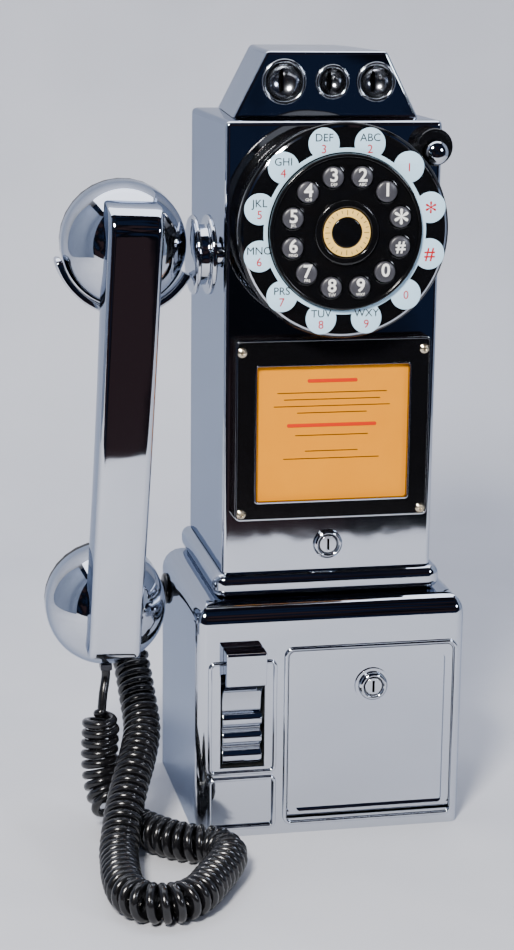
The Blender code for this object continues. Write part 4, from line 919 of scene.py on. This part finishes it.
handset = {
    "ear": (-0.1206, -0.0350, 0.3562),      # centre of the ear cup
    "tilt": math.radians(3.8),
    "lean": math.radians(2.5),
    "length": 0.220,                        # between the cups' centres
    "cup": 0.036,                           # radius
    "skirt": 0.010,
    "halfWidth": 0.0156,
    "front": 0.050,
    "top": 0.0287,                          # of the handle, above the ear cup's centre
    "foot": 0.0172,                         # of the handle, below the mouth cup's centre
    "round": 0.0018,                        # at the handle's two ends
}
handsetTurn = Euler((handset["tilt"], handset["lean"], 0)).to_matrix().to_4x4()
handsetPlace = Matrix.Translation(handset["ear"]) @ handsetTurn


def inHandset(made):
    made.data.transform(handsetPlace)
    return made


def handleFace(z):
    # y of the handle's front and back at each height under the ear cup's centre
    front = handset["front"]
    low = -handset["length"]
    z = np.asarray(z, float)
    heights = [low - 0.015, low + 0.06, low / 2, -0.06, 0.0135]
    face = -front + np.interp(z, heights, [0.0, -0.0006, -0.0010, -0.0006, 0.0])
    top = np.clip((z - 0.0135) / 0.0152, 0, 1)
    face = face + 0.0165 * (1 - np.sqrt(1 - top ** 2))
    bottom = np.clip((low - 0.011 - z) / 0.0065, 0, 1)
    face = face + 0.004 * (1 - np.sqrt(1 - bottom ** 2))
    waist = low / 2
    heights = [low - 0.0175, low + 0.006, low + 0.034, waist - 0.03, waist, waist + 0.03, -0.034, -0.006, 0.029]
    depths = [-0.026, -0.018, -0.021, -0.0245, -0.0250, -0.0245, -0.021, -0.018, -0.020]
    return face, np.interp(z, heights, depths)


def makeHandle():
    # A rounded rectangle lofted down the handle: at each height it spans from the front face to the back
    # face, and its corners are round. The last rings shrink to close the ends softly.
    low, high, end = -handset["length"] - handset["foot"], handset["top"], handset["round"]
    t = np.linspace(0, 1, 120)
    heights = high + (low - high) * (t - np.sin(2 * math.pi * t) / (2 * math.pi) * 0.75)
    face, back = handleFace(heights)
    ring = roundedBoxRing(-1, 1, -1, 1, 0.27, 8)
    rows = []
    ends = np.minimum(heights - low, high - heights)
    inset = end * (1 - np.sqrt(1 - np.clip(1 - ends / end, 0, 1) ** 2))
    for z, y0, y1, less in zip(heights, face, back, inset):
        half = handset["halfWidth"] - 0.0005 * (high - z) / (high - low) - less
        depth = max((y1 - y0) / 2 - less, 0.001)
        middle = (y0 + y1) / 2
        rows.append(np.stack([ring[:, 0] * half, middle + ring[:, 1] * depth, np.full(len(ring), z)], axis=1))
    return inHandset(gridPiece("handsetHandle", withCaps(np.array(rows)), chromedAbs, sharpDegrees=50))


def makeCupDome(name, z):
    radius, skirt = handset["cup"], handset["skirt"]
    crown = np.radians(np.linspace(0, 90, 40))
    dome = np.stack([radius * np.sin(crown), radius * np.cos(crown)], axis=1)
    inside = radius - 0.0025
    rest = [
        (radius, -skirt + 0.0008), (radius - 0.0006, -skirt), (inside + 0.0004, -skirt),
        (inside, -skirt + 0.0006), (inside, 0.0), (inside * 0.7, inside * 0.7), (0, inside),
    ]
    profile = np.vstack([dome, rest])
    return inHandset(turnedPiece(name, profile, (0, 0, z), chromedAbs, steps=128))


def makeHandset():
    standsFor(makeHandle(), "handset_body")
    for name, z in (("earCupShell", 0), ("mouthCupShell", -handset["length"])):
        trim(makeCupDome(name, z), "handset_body")
    refined("ear_cap", blackAbs, 0.0, foldDegrees=38)
    refined("mouth_cap", blackAbs, 0.0, foldDegrees=38)


makeHandset()
print("handset made")


vaultSide = -0.082      # where the gland's collar meets the vault


def makeGland():
    low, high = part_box("cord_gland")
    centre = (vaultSide, (low.y + high.y) / 2, (low.z + high.z) / 2)
    profile = [
        (0, 0.0085), (0.0043, 0.0085), (0.0054, 0.0070), (0.0056, 0.0034), (0.0090, 0.0026),
        (0.0100, 0.0014), (0.0100, 0.0003), (0.0055, 0.0003), (0.0055, -0.0055), (0, -0.0055),
    ]
    made = turnedPiece("cordGland", softened(profile, 0.0006, 3), centre, cordPvc, leftAxes, 64)
    standsFor(made, "cord_gland")


makeGland()

studio = {
    "cloth": "#CBCCD2",
    "clothShade": "#AAADB6",
    "side": "#9AA3B3",
    "sideShade": "#7C8696",
    "floorFront": -0.70,
    "wallBack": 1.05,
    "bend": 0.5,            # radius between floor and wall
    "half": 2.6,
    "high": 3.0,
    "sideX": 1.25,
    "sideFront": -0.30,
    "sideBack": 0.9,
    "sideHigh": 1.7,
    "sideBow": 0.22,
    "room": ((0.40, "#34282C"), (0.46, "#0A0C12"), (0.51, "#0C0F16"), (0.58, "#182238")),
    "roomPatches": 4.6,
    "openAir": "#CDCED3",
}
lights = {
    "ceiling": {"place": (0.0, 0.45, 1.85), "aim": (0, 0.4, 0), "size": 2.2, "tall": 1.4, "watts": 34,
                "colour": "#F0F4FF"},
    "frontSoftbox": {"place": (-0.75, -1.45, 1.40), "aim": (-0.03, 0, 0.22), "size": 0.42, "watts": 78,
                     "colour": "#FFFBF4"},
    "lowFill": {"place": (0.95, -1.30, 0.75), "aim": (0.0, 0, 0.2), "size": 0.30, "watts": 8,
                "colour": "#E9F0FF"},
}


def openFromOutside(surface):
    # the outer side lets everything through, so the sheet is seen only from the side that faces the phone
    tree = surface.node_tree
    side = addNode(tree, "ShaderNodeNewGeometry").outputs["Backfacing"]
    clear = addNode(tree, "ShaderNodeBsdfTransparent").outputs["BSDF"]
    mix = addNode(tree, "ShaderNodeMixShader", (), (("Fac", side),))
    tree.links.new(clear, mix.inputs[1])
    tree.links.new(tree.nodes["Principled BSDF"].outputs["BSDF"], mix.inputs[2])
    tree.links.new(mix.outputs["Shader"], tree.nodes["Material Output"].inputs["Surface"])


# White cotton laid loose: broad soft folds and a fine weave.
sweepCloth = finish("whiteCottonCloth", studio["cloth"], 0.9, 0.0, 160, 9, 2, 0.05, 0.03, 60,
                    studio["clothShade"], 420)
# Matt grey-blue paper sheets at the sides: a soft, even tone for the plating to show.
sideSheet = finish("greyBlueSideSheet", studio["side"], 0.9, 0.0, 0, 0, 6, 0.02, 0.03, 60,
                   studio["sideShade"], 500)
openFromOutside(sweepCloth)
openFromOutside(sideSheet)


def makeSweep():
    # floor, a quarter circle, and a wall: one profile across x
    front, back, bend = studio["floorFront"], studio["wallBack"], studio["bend"]
    angle = np.radians(np.linspace(0, 90, 24))
    ys = np.concatenate([[front], back - bend + bend * np.sin(angle), [back]])
    zs = np.concatenate([[0], bend - bend * np.cos(angle), [studio["high"]]])
    across = np.linspace(-studio["half"], studio["half"], 3)
    shape = (len(ys), 3)
    grid = np.stack([np.broadcast_to(across[None], shape), np.broadcast_to(ys[:, None], shape),
                     np.broadcast_to(zs[:, None], shape)], axis=-1)
    gridPiece("studioSweep", grid, sweepCloth, False, False, 60)


def makeSideSheets():
    # a sheet at each side, bowed inwards at its front edge, so that round plating shows a soft pale flank
    turn = np.radians(np.linspace(0, 70, 10))
    bow = studio["sideBow"]
    for name, side in (("leftSheet", -1), ("rightSheet", 1)):
        xs = np.concatenate([[studio["sideX"]], studio["sideX"] - bow * (1 - np.cos(turn))]) * side
        ys = np.concatenate([[studio["sideBack"]], studio["sideFront"] - bow * np.sin(turn)])
        zs = np.array([0.0, studio["sideHigh"]])
        shape = (2, len(xs))
        grid = np.stack([np.broadcast_to(xs[None], shape), np.broadcast_to(ys[None], shape),
                         np.broadcast_to(zs[:, None], shape)], axis=-1)
        gridPiece(name, grid, sideSheet, False, False, 60)


def makeLight(name):
    # a light with a height is a rectangle, one without is a disc
    light = lights[name]
    data = bpy.data.lights.new(name, "AREA")
    data.shape = "RECTANGLE" if "tall" in light else "DISK"
    data.size = light["size"]
    if "tall" in light:
        data.size_y = light["tall"]
    data.energy = light["watts"]
    data.color = linear(light["colour"])[:3]
    made = bpy.data.objects.new(name, data)
    made.rotation_euler = (Vector(light["aim"]) - Vector(light["place"])).to_track_quat("-Z", "Y").to_euler()
    made.location = light["place"]
    scene.collection.objects.link(made)


def makeRoom():
    # the room is dark, with dim blue and brown patches that only the plating shows; the camera sees a
    # pale one
    world = bpy.data.worlds.new("room")
    scene.world = world
    world.use_nodes = True
    tree = world.node_tree
    way = addNode(tree, "ShaderNodeTexCoord").outputs["Generated"]
    settings = (("Scale", studio["roomPatches"]), ("Detail", 3.0))
    patches = addNode(tree, "ShaderNodeTexNoise", settings, (("Vector", way),))
    ramp = addNode(tree, "ShaderNodeValToRGB", (), (("Fac", patches.outputs["Fac"]),))
    for place, colour in studio["room"]:
        stop = ramp.color_ramp.elements.new(place)
        stop.color = linear(colour)
    ramp.color_ramp.elements.remove(ramp.color_ramp.elements[0])
    ramp.color_ramp.elements.remove(ramp.color_ramp.elements[-1])
    seen = addNode(tree, "ShaderNodeLightPath").outputs["Is Camera Ray"]
    mix = addNode(tree, "ShaderNodeMix", (("data_type", "RGBA"),), (("Factor", seen),))
    tree.links.new(ramp.outputs["Color"], mix.inputs[6])
    mix.inputs[7].default_value = linear(studio["openAir"])
    tree.links.new(mix.outputs[2], tree.nodes["Background"].inputs["Color"])


makeSweep()
makeSideSheets()
makeRoom()
for lightName in lights:
    makeLight(lightName)
print("studio made")
